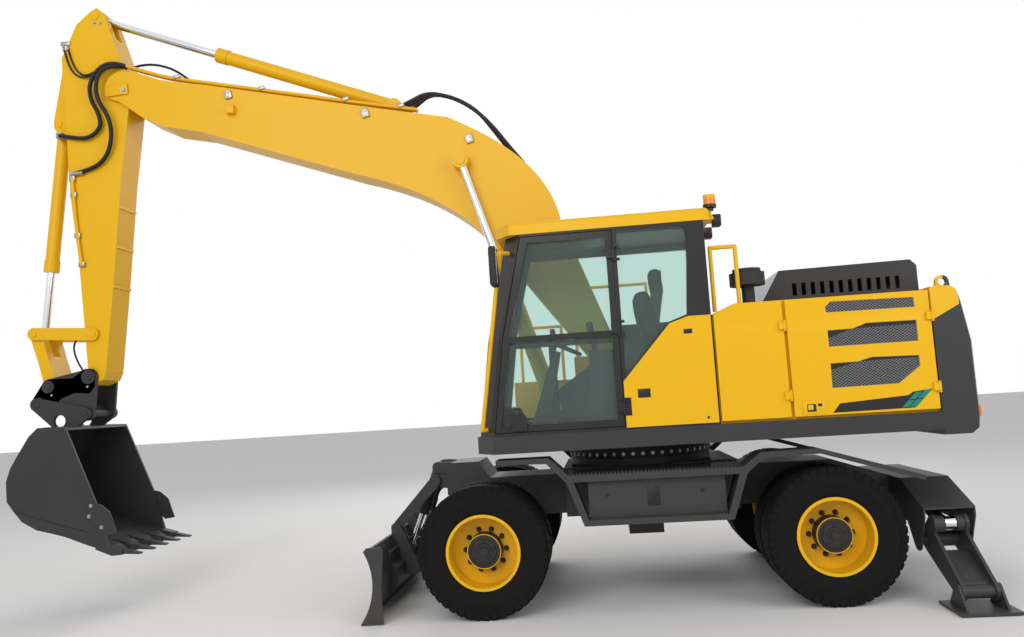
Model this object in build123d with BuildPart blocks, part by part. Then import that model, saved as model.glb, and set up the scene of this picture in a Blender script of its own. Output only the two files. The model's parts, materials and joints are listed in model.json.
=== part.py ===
from build123d import *
import os
from math import atan2, cos, degrees, hypot, radians, sin

# Wheeled excavator, standing on its wheels with the boom raised.
# X points forward, Y to the cab side and Z up. Millimetres.
# A point of a side view is (distance ahead of the swing axis, height above the floor).
# A point of a cross view is (distance left of the middle, height above the floor).

# Overall places
SWING_X = -1562.0
FRONT_AXLE = 1350.0
REAR_AXLE = -1400.0
HALF_WIDTH = 1250.0

# Clearances
PIN_GAP = 0.3
SIDE_GAP = 4.0
MOVE_GAP = 6.0
SEAT_GAP = 0.3
SLACK = 1.0

# Wheels
TYRE_RADIUS = 530.0
TYRE_WIDTH = 270.0
TYRE_BEAD = 290.0
TWIN_SPACING = 320.0
OUTER_TYRE_Y = 1120.0
RIM_WALL = 12.0
RIM_HALF = 108.0
RIM_LIP = 12.0
RIM_LIP_RADIUS = 301.0
HUB_RADIUS = 138.0
HUB_FACE_Y = 1172.0
HUB_CAP = 20.0
SPINDLE_RADIUS = 55.0
SPINDLE_ROOT_Y = 645.0
DISC_WALL = 18.0
DISC_Y = 1020.0
STUD_CIRCLE = 167.5
STUD_COUNT = 10
STUD_RADIUS = 11.0
STUD_LENGTH = 45.0

# Undercarriage
FRAME_BOTTOM = 690.0
FRAME_TOP = 1110.0
NECK_TOP = 1040.0
NECK_HALF = 300.0
BELLY_HALF = 560.0
BELLY_FRONT = 690.0
BELLY_REAR = -800.0
NECK_FRONT = 1770.0
NECK_REAR = -2110.0
AXLE_TUBE = 95.0
AXLE_HEAD = 155.0
KINGPIN_Y = 600.0
KINGPIN_RADIUS = 30.0

# Slewing ring
RING_RADIUS = 640.0
RING_HOLE = 500.0
RING_SEAT = 1165.0
RING_TOP = 1255.0
DECK_FLANGE = 690.0

# Superstructure
DECK_BOTTOM = 1300.0
DECK_TOP = 1440.0
DECK_FRONT = 1372.0
DECK_CORNER = 1215.0
DECK_REAR = -2270.0
DECK_PLATE = 25.0
TAIL_RADIUS = 2825.0
TAIL_BOTTOM = 1261.0
TAIL_TOP = 2405.0
HOOD_TOP = 2387.0
HOOD_WALL = 20.0
DOOR_WALL = 40.0
DOOR_BOTTOM = 1462.0
BAY_FRONT = -1161.0
BAY_REAR = -2270.0
NOOK_FRONT = -603.0
BRACKET_INNER = 206.0
BRACKET_WALL = 17.0

# Cab
CAB_RIGHT = 368.0
CAB_REAR = -590.0
CAB_WALL = 45.0
CAB_BOTTOM = DECK_TOP + SEAT_GAP
CAB_TOP = 3075.0
CAB_DOOR_REAR = 150.0
GLASS_WALL = 6.0

# Boom, arm and bucket
BOOM_HALF = 200.0
BOOM_FOOT = (200.0, 2000.0)
BOOM_NOSE = (4960.0, 5110.0)
BOOM_EYE = (1487.0, 4023.0)
BOOM_RAM_BASE = (760.0, 1640.0)
BOOM_RAM_Y = 290.0
ARM_HALF = 155.0
ARM_TOP_PIN = (5205.0, 5930.0)
STICK_RAM_BASE = (2144.0, 4705.0)
ARM_TIP = (5306.0, 2216.0)
LINK_ARM_PIN = (5270.0, 2637.0)
LINK_ROD_PIN = (5888.0, 2681.0)
LINK_HITCH_PIN = (5727.0, 2144.0)
BUCKET_RAM_BASE = (5640.0, 4830.0)
HITCH_INNER = 159.0
HITCH_OUTER = 193.0
HITCH_FRONT_PIN = (5836.0, 1976.0)
HITCH_REAR_PIN = (5330.0, 1860.0)
HITCH_PIN_RADIUS = 40.0
BUCKET_HALF = 530.0
BUCKET_WALL = 25.0
TOOTH_COUNT = 5

# Blade
BLADE_HALF = 1250.0
BLADE_END_WALL = 15.0
BLADE_ARM_PIN = (1730.0, 675.0)
BLADE_LOW_PIN = (2110.0, 275.0)
BLADE_LINK_PIN = (1882.0, 1040.0)
BLADE_TOP_PIN = (2262.0, 640.0)
BLADE_RAM_BASE = (1880.0, 1150.0)
BLADE_RAM_EYE = (2180.0, 430.0)
BLADE_RAM_Y = 150.0
BLADE_ARM_Y = 326.0

# Outriggers
LEG_X = -2305.0
LEG_HALF = 130.0
BEAM_HALF = 195.0
BEAM_WALL = 12.0
LEG_PIVOT = (880.0, 420.0)
LEG_EYE = (1030.0, 560.0)
LEG_FOOT = (1449.0, 130.0)
LEG_SHOULDER = (973.0, 461.0)
LEG_RAM_BASE = (330.0, 700.0)
PAD_BOTTOM = 8.0
PAD_WALL = 20.0
PAD_HALF_X = 212.0
PAD_HALF_Y = 207.0

# Tow lug and lifting eyes
TOW_PLATE = 40.0
TOW_BORE = 27.5
EYE_BORE = 30.0
EYE_WALL = 35.0
EYE_Y = 980.0


def side(y=0.0):
    """Drawing plane of the side view, at a distance left of the middle."""
    return Plane(origin=(SWING_X, y, 0), x_dir=(1, 0, 0), z_dir=(0, -1, 0))


def cross(x=0.0):
    """Drawing plane seen along the machine."""
    return Plane(origin=(SWING_X + x, 0, 0), x_dir=(0, 1, 0), z_dir=(1, 0, 0))


def level(z=0.0):
    """Level drawing plane, centred on the swing axis."""
    return Plane(origin=(SWING_X, 0, z))


def plate(plane, points, thickness, mode=Mode.ADD):
    """A plate with straight edges, drawn on a plane and grown from it."""
    with BuildSketch(plane) as outline:
        with BuildLine():
            Polyline(*points, close=True)
        make_face()
    extrude(outline.sketch, amount=thickness, mode=mode)


def disc(plane, centre, radius, thickness, mode=Mode.ADD):
    """A round boss, pin or bore, drawn on a plane and grown from it."""
    with BuildSketch(plane) as outline:
        with Locations(centre):
            Circle(radius)
    extrude(outline.sketch, amount=thickness, mode=mode)


def link(plane, ends, radii, thickness, mode=Mode.ADD):
    """A link with round ends, drawn on a plane and grown from it."""
    with BuildSketch(plane) as outline:
        for end, radius in zip(ends, radii):
            with Locations(end):
                Circle(radius)
        make_hull()
    extrude(outline.sketch, amount=thickness, mode=mode)


def side_plate(points, y_low, y_high, mode=Mode.ADD):
    plate(side(y_high), points, y_high - y_low, mode)


def side_disc(centre, radius, y_low, y_high, mode=Mode.ADD):
    disc(side(y_high), centre, radius, y_high - y_low, mode)


def side_link(ends, radii, y_low, y_high, mode=Mode.ADD):
    link(side(y_high), ends, radii, y_high - y_low, mode)


def cross_plate(points, x_low, x_high, mode=Mode.ADD):
    plate(cross(x_low), points, x_high - x_low, mode)


def cross_disc(centre, radius, x_low, x_high, mode=Mode.ADD):
    disc(cross(x_low), centre, radius, x_high - x_low, mode)


def cross_link(ends, radii, x_low, x_high, mode=Mode.ADD):
    link(cross(x_low), ends, radii, x_high - x_low, mode)


def level_plate(points, z_low, z_high, mode=Mode.ADD):
    plate(level(z_low), points, z_high - z_low, mode)


def level_disc(centre, radius, z_low, z_high, mode=Mode.ADD):
    disc(level(z_low), centre, radius, z_high - z_low, mode)


def block(x_low, x_high, y_low, y_high, z_low, z_high, mode=Mode.ADD):
    """A square block between its limits."""
    centre = (SWING_X + (x_low + x_high) / 2, (y_low + y_high) / 2, (z_low + z_high) / 2)
    with Locations(centre):
        Box(x_high - x_low, y_high - y_low, z_high - z_low, mode=mode)


def round_bar(start, end, radius, mode=Mode.ADD):
    """A round bar between two points (ahead of the swing axis, left, height)."""
    foot = Vector(SWING_X + start[0], start[1], start[2])
    tip = Vector(SWING_X + end[0], end[1], end[2])
    with BuildSketch(Plane(origin=foot, z_dir=tip - foot)) as ring:
        Circle(radius)
    extrude(ring.sketch, amount=(tip - foot).length, mode=mode)


def along(start, end, distance):
    """The point at a distance from start on the way to end."""
    share = distance / hypot(end[0] - start[0], end[1] - start[1])
    return (start[0] + (end[0] - start[0]) * share, start[1] + (end[1] - start[1]) * share)


def sides(y):
    """A distance left of the middle and the same to the right."""
    return (y, -y)


def band(y_inner, y_outer, sign):
    """The two limits of a plate on one side of the middle, low one first."""
    return (y_inner, y_outer) if sign > 0 else (-y_outer, -y_inner)


def save(piece, name):
    """Label a finished piece and write its file."""
    piece.part.label = name
    export_step(piece.part, "parts/" + name + ".step")


def side_rams(base, eye, centres, barrel_end, barrel, rod, eye_radius, eye_half, pin):
    """Barrels of rams in the side view: tube, gland, base eye and the bore of the rod."""
    for y in centres:
        points = [along(base, eye, d) for d in (0.7 * eye_radius, barrel_end - 120, barrel_end)]
        tail, collar, gland = [(x, y, z) for x, z in points]
        bore = along(base, eye, eye_radius + 30)
        mouth = along(base, eye, barrel_end + 10)
        round_bar(tail, gland, barrel)
        round_bar(collar, gland, barrel + 8)
        side_disc(base, eye_radius, y - eye_half, y + eye_half)
        round_bar((bore[0], y, bore[1]), (mouth[0], y, mouth[1]), rod + PIN_GAP, Mode.SUBTRACT)
        side_disc(base, pin + PIN_GAP, y - eye_half - 1, y + eye_half + 1, Mode.SUBTRACT)
        if eye_half < barrel:
            for low, high in ((y - barrel - 9, y - eye_half), (y + eye_half, y + barrel + 9)):
                side_disc(base, eye_radius + MOVE_GAP, low, high, Mode.SUBTRACT)


def side_rods(base, eye, centres, inner_end, rod, eye_radius, eye_half):
    """Rods of rams in the side view, from inside the barrel to the eye."""
    inner = along(base, eye, inner_end)
    for y in centres:
        round_bar((inner[0], y, inner[1]), (eye[0], y, eye[1]), rod)
        side_disc(eye, eye_radius, y - eye_half, y + eye_half)


os.makedirs("parts", exist_ok=True)


# Undercarriage frame with its ring seat, blade nose and outrigger beam
BEAM_FRONT = LEG_X + BEAM_HALF
BEAM_REAR = LEG_X - BEAM_HALF
BEAM_TOP = 880.0
COVER_KNEE = (600.0, BEAM_TOP)
COVER_EDGE = (1075.0, 690.0)

with BuildPart() as chassis_frame:
    block(BELLY_REAR, BELLY_FRONT, -BELLY_HALF, BELLY_HALF, FRAME_BOTTOM, FRAME_TOP)
    block(BELLY_FRONT, NECK_FRONT, -NECK_HALF, NECK_HALF, FRAME_BOTTOM, NECK_TOP)
    side_plate(
        [
            (BELLY_REAR, FRAME_BOTTOM),
            (BELLY_REAR, NECK_TOP),
            (-1650, NECK_TOP),
            (NECK_REAR - 1, BEAM_TOP),
            (NECK_REAR - 1, FRAME_BOTTOM),
        ],
        -NECK_HALF,
        NECK_HALF,
    )
    level_disc((0, 0), RING_RADIUS, FRAME_TOP, RING_SEAT)
    block(-160, 150, -190, 190, 460, FRAME_BOTTOM)
    # nose that carries the blade
    block(1560, 1790, -NECK_HALF, NECK_HALF, 600, FRAME_BOTTOM)
    side_plate([(1380, 1039), (1480, 1190), (1740, 1190), (1780, 1060), (1780, 900)], -NECK_HALF, NECK_HALF)
    for sign in (1, -1):
        low, high = band(NECK_HALF - 45, NECK_HALF, sign)
        side_link([(1650, 1000), BLADE_LINK_PIN], (60, 55), low, high)
        low, high = band(NECK_HALF - 1, BLADE_ARM_Y + 30, sign)
        for pin in (BLADE_ARM_PIN, BLADE_LINK_PIN):
            side_disc(pin, 32, low, high)
        low, high = band(BLADE_ARM_Y + 20 + SIDE_GAP, BLADE_ARM_Y + 32, sign)
        for pin in (BLADE_ARM_PIN, BLADE_LINK_PIN):
            side_disc(pin, 45, low, high)
        for edge in (-60, 42):
            y = sign * BLADE_RAM_Y + edge
            side_link([(1720, 1120), BLADE_RAM_BASE], (65, 50), y, y + 18)
        side_disc(BLADE_RAM_BASE, 30, sign * BLADE_RAM_Y - 60, sign * BLADE_RAM_Y + 60)
    # outrigger beam: two walls with lobes, and a cover
    for sign in (1, -1):
        wall = [
            (0, BEAM_TOP),
            (sign * COVER_KNEE[0], COVER_KNEE[1]),
            (sign * COVER_EDGE[0], COVER_EDGE[1]),
            (sign * COVER_EDGE[0], 620),
            (sign * 960, 400),
            (sign * 800, 380),
            (sign * 690, 540),
            (0, 560),
        ]
        for x_low in (BEAM_REAR, BEAM_FRONT - BEAM_WALL):
            cross_plate(wall, x_low, x_low + BEAM_WALL)
            cross_disc((sign * LEG_PIVOT[0], LEG_PIVOT[1]), 88, x_low, x_low + BEAM_WALL)
        cover = [
            (0, BEAM_TOP),
            (sign * COVER_KNEE[0], COVER_KNEE[1]),
            (sign * COVER_EDGE[0], COVER_EDGE[1]),
            (sign * COVER_EDGE[0], COVER_EDGE[1] - 14),
            (sign * COVER_KNEE[0], COVER_KNEE[1] - 14),
            (0, BEAM_TOP - 14),
        ]
        cross_plate(cover, BEAM_REAR, BEAM_FRONT)
        cross_disc((sign * LEG_PIVOT[0], LEG_PIVOT[1]), 35, BEAM_REAR, BEAM_FRONT)
        cross_disc((sign * LEG_RAM_BASE[0], LEG_RAM_BASE[1]), 30, BEAM_REAR, BEAM_FRONT)
    block(BEAM_REAR, BEAM_FRONT, -420, 420, 560, 574)
    block(BEAM_REAR - 110, BEAM_REAR + 1, -70, 70, 600, 600 + TOW_PLATE)
    level_disc((BEAM_REAR - 60, 0), TOW_BORE, 599, 601 + TOW_PLATE, Mode.SUBTRACT)
save(chassis_frame, "chassis_frame")

# Lower slewing ring
with BuildPart() as swing_ring:
    level_disc((0, 0), RING_RADIUS, RING_SEAT, RING_TOP)
    level_disc((0, 0), RING_HOLE, RING_SEAT - 1, RING_TOP + 1, Mode.SUBTRACT)
save(swing_ring, "swing_ring")


def axle_housing(x):
    """Axle tube, gear housing and the blocks that seat it under the frame."""
    tube_end = KINGPIN_Y - 20
    side_disc((x, TYRE_RADIUS), AXLE_TUBE, -tube_end, tube_end)
    side_disc((x, TYRE_RADIUS), AXLE_HEAD - 30, -190, 190)
    side_disc((x, TYRE_RADIUS), AXLE_HEAD, -90, 90)
    block(x - 120, x + 120, -170, 170, TYRE_RADIUS + 60, FRAME_BOTTOM - SEAT_GAP)


# Front axle with kingpin forks
FORK_LOW = TYRE_RADIUS - 125.0
FORK_HIGH = TYRE_RADIUS + 125.0
with BuildPart() as front_axle:
    axle_housing(FRONT_AXLE)
    block(FRONT_AXLE - 215, FRONT_AXLE - 125, -300, 300, TYRE_RADIUS + 15, TYRE_RADIUS + 85)
    block(FRONT_AXLE - 150, FRONT_AXLE - 60, -120, 120, TYRE_RADIUS + 10, TYRE_RADIUS + 80)
    for sign in (1, -1):
        low, high = band(470, KINGPIN_Y - 85, sign)
        block(FRONT_AXLE - 60, FRONT_AXLE + 60, low, high, FORK_LOW - 35, FORK_HIGH + 35)
        low, high = band(470, KINGPIN_Y + 45, sign)
        for z in (FORK_LOW - 35, FORK_HIGH):
            block(FRONT_AXLE - 45, FRONT_AXLE + 45, low, high, z, z + 35)
        side_disc((FRONT_AXLE, TYRE_RADIUS), AXLE_TUBE + 1, *band(KINGPIN_Y - 85, KINGPIN_Y, sign), Mode.SUBTRACT)
        level_disc((FRONT_AXLE, sign * KINGPIN_Y), KINGPIN_RADIUS, FORK_LOW - 20, FORK_HIGH + 20)
save(front_axle, "front_axle")

# Rear axle with its spindles
with BuildPart() as rear_axle:
    axle_housing(REAR_AXLE)
    for sign in (1, -1):
        low, high = band(KINGPIN_Y - 30, SPINDLE_ROOT_Y + 20, sign)
        side_disc((REAR_AXLE, TYRE_RADIUS), HUB_RADIUS - 10, low, high)
        low, high = band(KINGPIN_Y, HUB_FACE_Y - HUB_CAP - MOVE_GAP, sign)
        side_disc((REAR_AXLE, TYRE_RADIUS), SPINDLE_RADIUS, low, high)
save(rear_axle, "rear_axle")


# Steering knuckles
def make_knuckle(sign):
    with BuildPart() as knuckle:
        level_disc((FRONT_AXLE, sign * KINGPIN_Y), 62, FORK_LOW + SIDE_GAP, FORK_HIGH - SIDE_GAP)
        low, high = band(KINGPIN_Y + 20, SPINDLE_ROOT_Y + 20, sign)
        side_disc((FRONT_AXLE, TYRE_RADIUS), 108, low, high)
        low, high = band(KINGPIN_Y, HUB_FACE_Y - HUB_CAP - MOVE_GAP, sign)
        side_disc((FRONT_AXLE, TYRE_RADIUS), SPINDLE_RADIUS, low, high)
        low, high = band(KINGPIN_Y - 30, KINGPIN_Y + 20, sign)
        block(FRONT_AXLE - 215, FRONT_AXLE - 30, low, high, TYRE_RADIUS - 70, TYRE_RADIUS - 40)
        bore = (FRONT_AXLE, sign * KINGPIN_Y)
        level_disc(bore, KINGPIN_RADIUS + PIN_GAP, FORK_LOW - 10, FORK_HIGH + 10, Mode.SUBTRACT)
    return knuckle


for sign, word in ((1, "left"), (-1, "right")):
    save(make_knuckle(sign), "knuckle_" + word)


# Twin tyres and their rims
def make_tyres(x, sign):
    with BuildPart() as tyres:
        for row in (0, 1):
            y = sign * (OUTER_TYRE_Y - row * TWIN_SPACING)
            with BuildSketch(Plane(origin=(SWING_X + x, y, TYRE_RADIUS), x_dir=(0, 1, 0), z_dir=(1, 0, 0))) as section:
                with BuildLine():
                    bead = (RIM_HALF - SEAT_GAP, TYRE_BEAD)
                    bulge = (TYRE_WIDTH / 2, 0.5 * (TYRE_BEAD + TYRE_RADIUS) - 5)
                    shoulder = (TYRE_WIDTH / 2 - 12, TYRE_RADIUS - 22)
                    crown = (TYRE_WIDTH / 2 - 30, TYRE_RADIUS - 6)
                    right = [bead, (RIM_HALF - SEAT_GAP, RIM_LIP_RADIUS + 2), (RIM_HALF + 12, RIM_LIP_RADIUS + 25)]
                    right += [bulge, shoulder, crown, (0, TYRE_RADIUS)]
                    left = [(-across, radius) for across, radius in reversed(right[:-1])]
                    Polyline(*right, *left, close=True)
                make_face()
            revolve(section.sketch, axis=Axis((SWING_X + x, y, TYRE_RADIUS), (0, 1, 0)))
    return tyres


def make_rims(x, sign):
    rim_radius = TYRE_BEAD - SEAT_GAP
    inner_y = OUTER_TYRE_Y - TWIN_SPACING
    lip = RIM_HALF + RIM_LIP
    wall = rim_radius - RIM_WALL
    with BuildPart() as rims:
        for y in (inner_y, OUTER_TYRE_Y):
            side_disc((x, TYRE_RADIUS), rim_radius, *band(y - lip, y + lip, sign))
            for edge in (y - lip, y + RIM_HALF):
                side_disc((x, TYRE_RADIUS), RIM_LIP_RADIUS, *band(edge, edge + RIM_LIP, sign))
        low, high = band(inner_y + lip - 1, OUTER_TYRE_Y - lip + 1, sign)
        side_disc((x, TYRE_RADIUS), rim_radius - 4, low, high)
        low, high = band(inner_y - lip - 1, DISC_Y, sign)
        side_disc((x, TYRE_RADIUS), wall, low, high, Mode.SUBTRACT)
        low, high = band(DISC_Y + DISC_WALL, OUTER_TYRE_Y + lip + 1, sign)
        side_disc((x, TYRE_RADIUS), wall, low, high, Mode.SUBTRACT)
        low, high = band(SPINDLE_ROOT_Y + 20 + MOVE_GAP, HUB_FACE_Y, sign)
        side_disc((x, TYRE_RADIUS), HUB_RADIUS, low, high)
        low, high = band(SPINDLE_ROOT_Y, HUB_FACE_Y - HUB_CAP, sign)
        side_disc((x, TYRE_RADIUS), SPINDLE_RADIUS + PIN_GAP, low, high, Mode.SUBTRACT)
        low, high = band(DISC_Y + DISC_WALL - 1, DISC_Y + DISC_WALL + STUD_LENGTH, sign)
        with BuildSketch(side(high)) as studs:
            with Locations((x, TYRE_RADIUS)):
                with PolarLocations(STUD_CIRCLE, STUD_COUNT):
                    Circle(STUD_RADIUS)
        extrude(studs.sketch, amount=high - low)
    return rims


WHEEL_SETS = (
    ("front_left", FRONT_AXLE, 1),
    ("front_right", FRONT_AXLE, -1),
    ("rear_left", REAR_AXLE, 1),
    ("rear_right", REAR_AXLE, -1),
)
for word, x, sign in WHEEL_SETS:
    save(make_tyres(x, sign), word + "_tyres")
    save(make_rims(x, sign), word + "_rims")

# Side boxes with their steps and treads
STEP_OUTER = HALF_WIDTH
with BuildPart() as side_steps:
    for sign in (1, -1):
        block(-600, 480, *band(BELLY_HALF, 1180, sign), 745, 1048)
        block(-640, 525, *band(1000, STEP_OUTER, sign), 700, 745)
        upper = [(650, 1048), (650, 1100), (-767, 1100), (-767, 1048)]
        side_plate(upper, *band(700, STEP_OUTER, sign))
        front_rail = [(525, 700), (650, 1048), (800, 1205), (1205, 1215), (1205, 1250)]
        front_rail += [(780, 1250), (600, 1075), (480, 725)]
        rear_rail = [(-640, 700), (-767, 1048), (-900, 1160), (-1330, 1170), (-2095, 925), (-2095, 965)]
        rear_rail += [(-1330, 1210), (-880, 1205), (-720, 1085), (-595, 725)]
        for rail in (front_rail, rear_rail):
            side_plate(rail, *band(990, STEP_OUTER, sign))
save(side_steps, "side_steps")

# Blade
BLADE_FRONT_TOP = (2327.0, 583.0)
BLADE_FRONT_MID = (2262.0, 300.0)
BLADE_FRONT_TOE = (2372.0, 8.0)
BLADE_PLATE = 27.0
with BuildPart() as blade:
    with BuildSketch(side(BLADE_HALF)) as curve:
        with BuildLine():
            ThreePointArc(BLADE_FRONT_TOP, BLADE_FRONT_MID, BLADE_FRONT_TOE)
            Line(BLADE_FRONT_TOE, (BLADE_FRONT_TOE[0] - BLADE_PLATE, BLADE_FRONT_TOE[1]))
            ThreePointArc(
                (BLADE_FRONT_TOE[0] - BLADE_PLATE, BLADE_FRONT_TOE[1]),
                (BLADE_FRONT_MID[0] - BLADE_PLATE, BLADE_FRONT_MID[1]),
                (BLADE_FRONT_TOP[0] - BLADE_PLATE, BLADE_FRONT_TOP[1]),
            )
            Line((BLADE_FRONT_TOP[0] - BLADE_PLATE, BLADE_FRONT_TOP[1]), BLADE_FRONT_TOP)
        make_face()
    extrude(curve.sketch, amount=2 * BLADE_HALF)
    for sign in (1, -1):
        low, high = band(BLADE_HALF - BLADE_END_WALL, BLADE_HALF, sign)
        with BuildSketch(side(high)) as cheek:
            with BuildLine():
                ThreePointArc(BLADE_FRONT_TOP, BLADE_FRONT_MID, BLADE_FRONT_TOE)
                Polyline(BLADE_FRONT_TOE, (2182, 8), (2190, 300), (2161, 590), (2180, 611), (2300, 611), BLADE_FRONT_TOP)
            make_face()
        extrude(cheek.sketch, amount=high - low)
        for edge in (-20 - SIDE_GAP - 20, 20 + SIDE_GAP):
            y = sign * BLADE_ARM_Y + edge
            ends = [BLADE_LOW_PIN, BLADE_TOP_PIN, (2235, 300)]
            side_link(ends, (55, 45, 60), y, y + 20)
        side_disc(BLADE_LOW_PIN, 30, sign * BLADE_ARM_Y - 40, sign * BLADE_ARM_Y + 40)
        side_disc(BLADE_TOP_PIN, 28, sign * BLADE_ARM_Y - 40, sign * BLADE_ARM_Y + 40)
        for edge in (-62, 44):
            y = sign * BLADE_RAM_Y + edge
            side_link([(2215, 390), BLADE_RAM_EYE], (60, 48), y, y + 18)
    side_plate([(2185, 190), (2185, 345), (2240, 375), (2240, 480), (2262, 490), (2270, 120)], -700, 700)
save(blade, "blade")

with BuildPart() as blade_arms:
    low_arm = BLADE_ARM_Y - 20
    for sign in (1, -1):
        low, high = band(low_arm, low_arm + 40, sign)
        side_link([BLADE_ARM_PIN, BLADE_LOW_PIN], (58, 52), low, high)
    middle = along(BLADE_ARM_PIN, BLADE_LOW_PIN, 290)
    side_disc(middle, 42, -low_arm - 1, low_arm + 1)
    for sign in (1, -1):
        low, high = band(low_arm - 1, low_arm + 41, sign)
        side_disc(BLADE_ARM_PIN, 32 + PIN_GAP, low, high, Mode.SUBTRACT)
        side_disc(BLADE_LOW_PIN, 30 + PIN_GAP, low, high, Mode.SUBTRACT)
save(blade_arms, "blade_arms")

with BuildPart() as blade_links:
    for sign in (1, -1):
        low, high = band(low_arm, low_arm + 40, sign)
        side_link([BLADE_LINK_PIN, BLADE_TOP_PIN], (50, 44), low, high)
        low, high = band(low_arm - 1, low_arm + 41, sign)
        side_disc(BLADE_LINK_PIN, 32 + PIN_GAP, low, high, Mode.SUBTRACT)
        side_disc(BLADE_TOP_PIN, 46, low, high, Mode.SUBTRACT)
save(blade_links, "blade_links")

BLADE_RAM_CENTRES = sides(BLADE_RAM_Y)
with BuildPart() as blade_barrels:
    side_rams(BLADE_RAM_BASE, BLADE_RAM_EYE, BLADE_RAM_CENTRES, 450, 45, 25, 50, 38, 30)
save(blade_barrels, "blade_barrels")
with BuildPart() as blade_rods:
    side_rods(BLADE_RAM_BASE, BLADE_RAM_EYE, BLADE_RAM_CENTRES, 330, 25, 45, 38)
save(blade_rods, "blade_rods")


# Outrigger legs, pads and rams
def cross_point(point, sign):
    return (sign * point[0], point[1])


def make_leg(sign):
    pivot, eye, shoulder, foot = [cross_point(p, sign) for p in (LEG_PIVOT, LEG_EYE, LEG_SHOULDER, LEG_FOOT)]
    web_top, web_foot = along(pivot, foot, 200), along(pivot, foot, 560)
    with BuildPart() as leg:
        for x in (LEG_X - LEG_HALF, LEG_X + LEG_HALF - 25):
            cross_link([pivot, shoulder, foot], (85, 80, 66), x, x + 25)
            cross_link([pivot, eye], (85, 72), x, x + 25)
        cross_disc(pivot, 60, LEG_X - LEG_HALF, LEG_X + LEG_HALF)
        cross_disc(foot, 48, LEG_X - LEG_HALF, LEG_X + LEG_HALF)
        cross_link([web_top, web_foot], (30, 30), LEG_X - LEG_HALF, LEG_X + LEG_HALF)
        for x in (LEG_X - LEG_HALF, LEG_X + 46):
            cross_disc(eye, 62, x, x + LEG_HALF - 46)
        cross_disc(pivot, 35 + PIN_GAP, LEG_X - LEG_HALF - 1, LEG_X + LEG_HALF + 1, Mode.SUBTRACT)
        cross_disc(foot, 30 + PIN_GAP, LEG_X - LEG_HALF - 1, LEG_X + LEG_HALF + 1, Mode.SUBTRACT)
    return leg


def make_pad(sign):
    foot = cross_point(LEG_FOOT, sign)
    floor = PAD_BOTTOM + PAD_WALL
    with BuildPart() as pad:
        y_low, y_high = foot[0] - PAD_HALF_Y, foot[0] + PAD_HALF_Y
        block(LEG_X - PAD_HALF_X, LEG_X + PAD_HALF_X, y_low, y_high, PAD_BOTTOM, floor)
        ear = [(foot[0] - 150, floor - 1), (foot[0] - 60, foot[1] + 20), (foot[0] + 60, foot[1] + 20)]
        ear += [(foot[0] + 150, floor - 1)]
        for x in (LEG_X - LEG_HALF - SIDE_GAP - 18, LEG_X + LEG_HALF + SIDE_GAP):
            cross_plate(ear, x, x + 18)
            cross_disc(foot, 62, x, x + 18)
        cross_disc(foot, 30, LEG_X - LEG_HALF - 22, LEG_X + LEG_HALF + 22)
    return pad


def leg_ram_parts(sign):
    base, eye = cross_point(LEG_RAM_BASE, sign), cross_point(LEG_EYE, sign)
    tail, collar, gland = along(base, eye, 35), along(base, eye, 350), along(base, eye, 430)
    bore, mouth = along(base, eye, 80), along(base, eye, 440)
    inner = along(base, eye, 290)
    with BuildPart() as barrel:
        round_bar((LEG_X, *tail), (LEG_X, *gland), 52)
        round_bar((LEG_X, *collar), (LEG_X, *gland), 60)
        cross_disc(base, 52, LEG_X - 45, LEG_X + 45)
        round_bar((LEG_X, *bore), (LEG_X, *mouth), 28 + PIN_GAP, Mode.SUBTRACT)
        cross_disc(base, 30 + PIN_GAP, LEG_X - 60, LEG_X + 60, Mode.SUBTRACT)
    with BuildPart() as rod:
        round_bar((LEG_X, *inner), (LEG_X, *eye), 28)
        cross_disc(eye, 55, LEG_X - 40, LEG_X + 40)
    return barrel, rod


for sign, word in ((1, "left"), (-1, "right")):
    save(make_leg(sign), "outrigger_leg_" + word)
    save(make_pad(sign), "outrigger_pad_" + word)
    barrel, rod = leg_ram_parts(sign)
    save(barrel, "outrigger_barrel_" + word)
    save(rod, "outrigger_rod_" + word)

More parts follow.
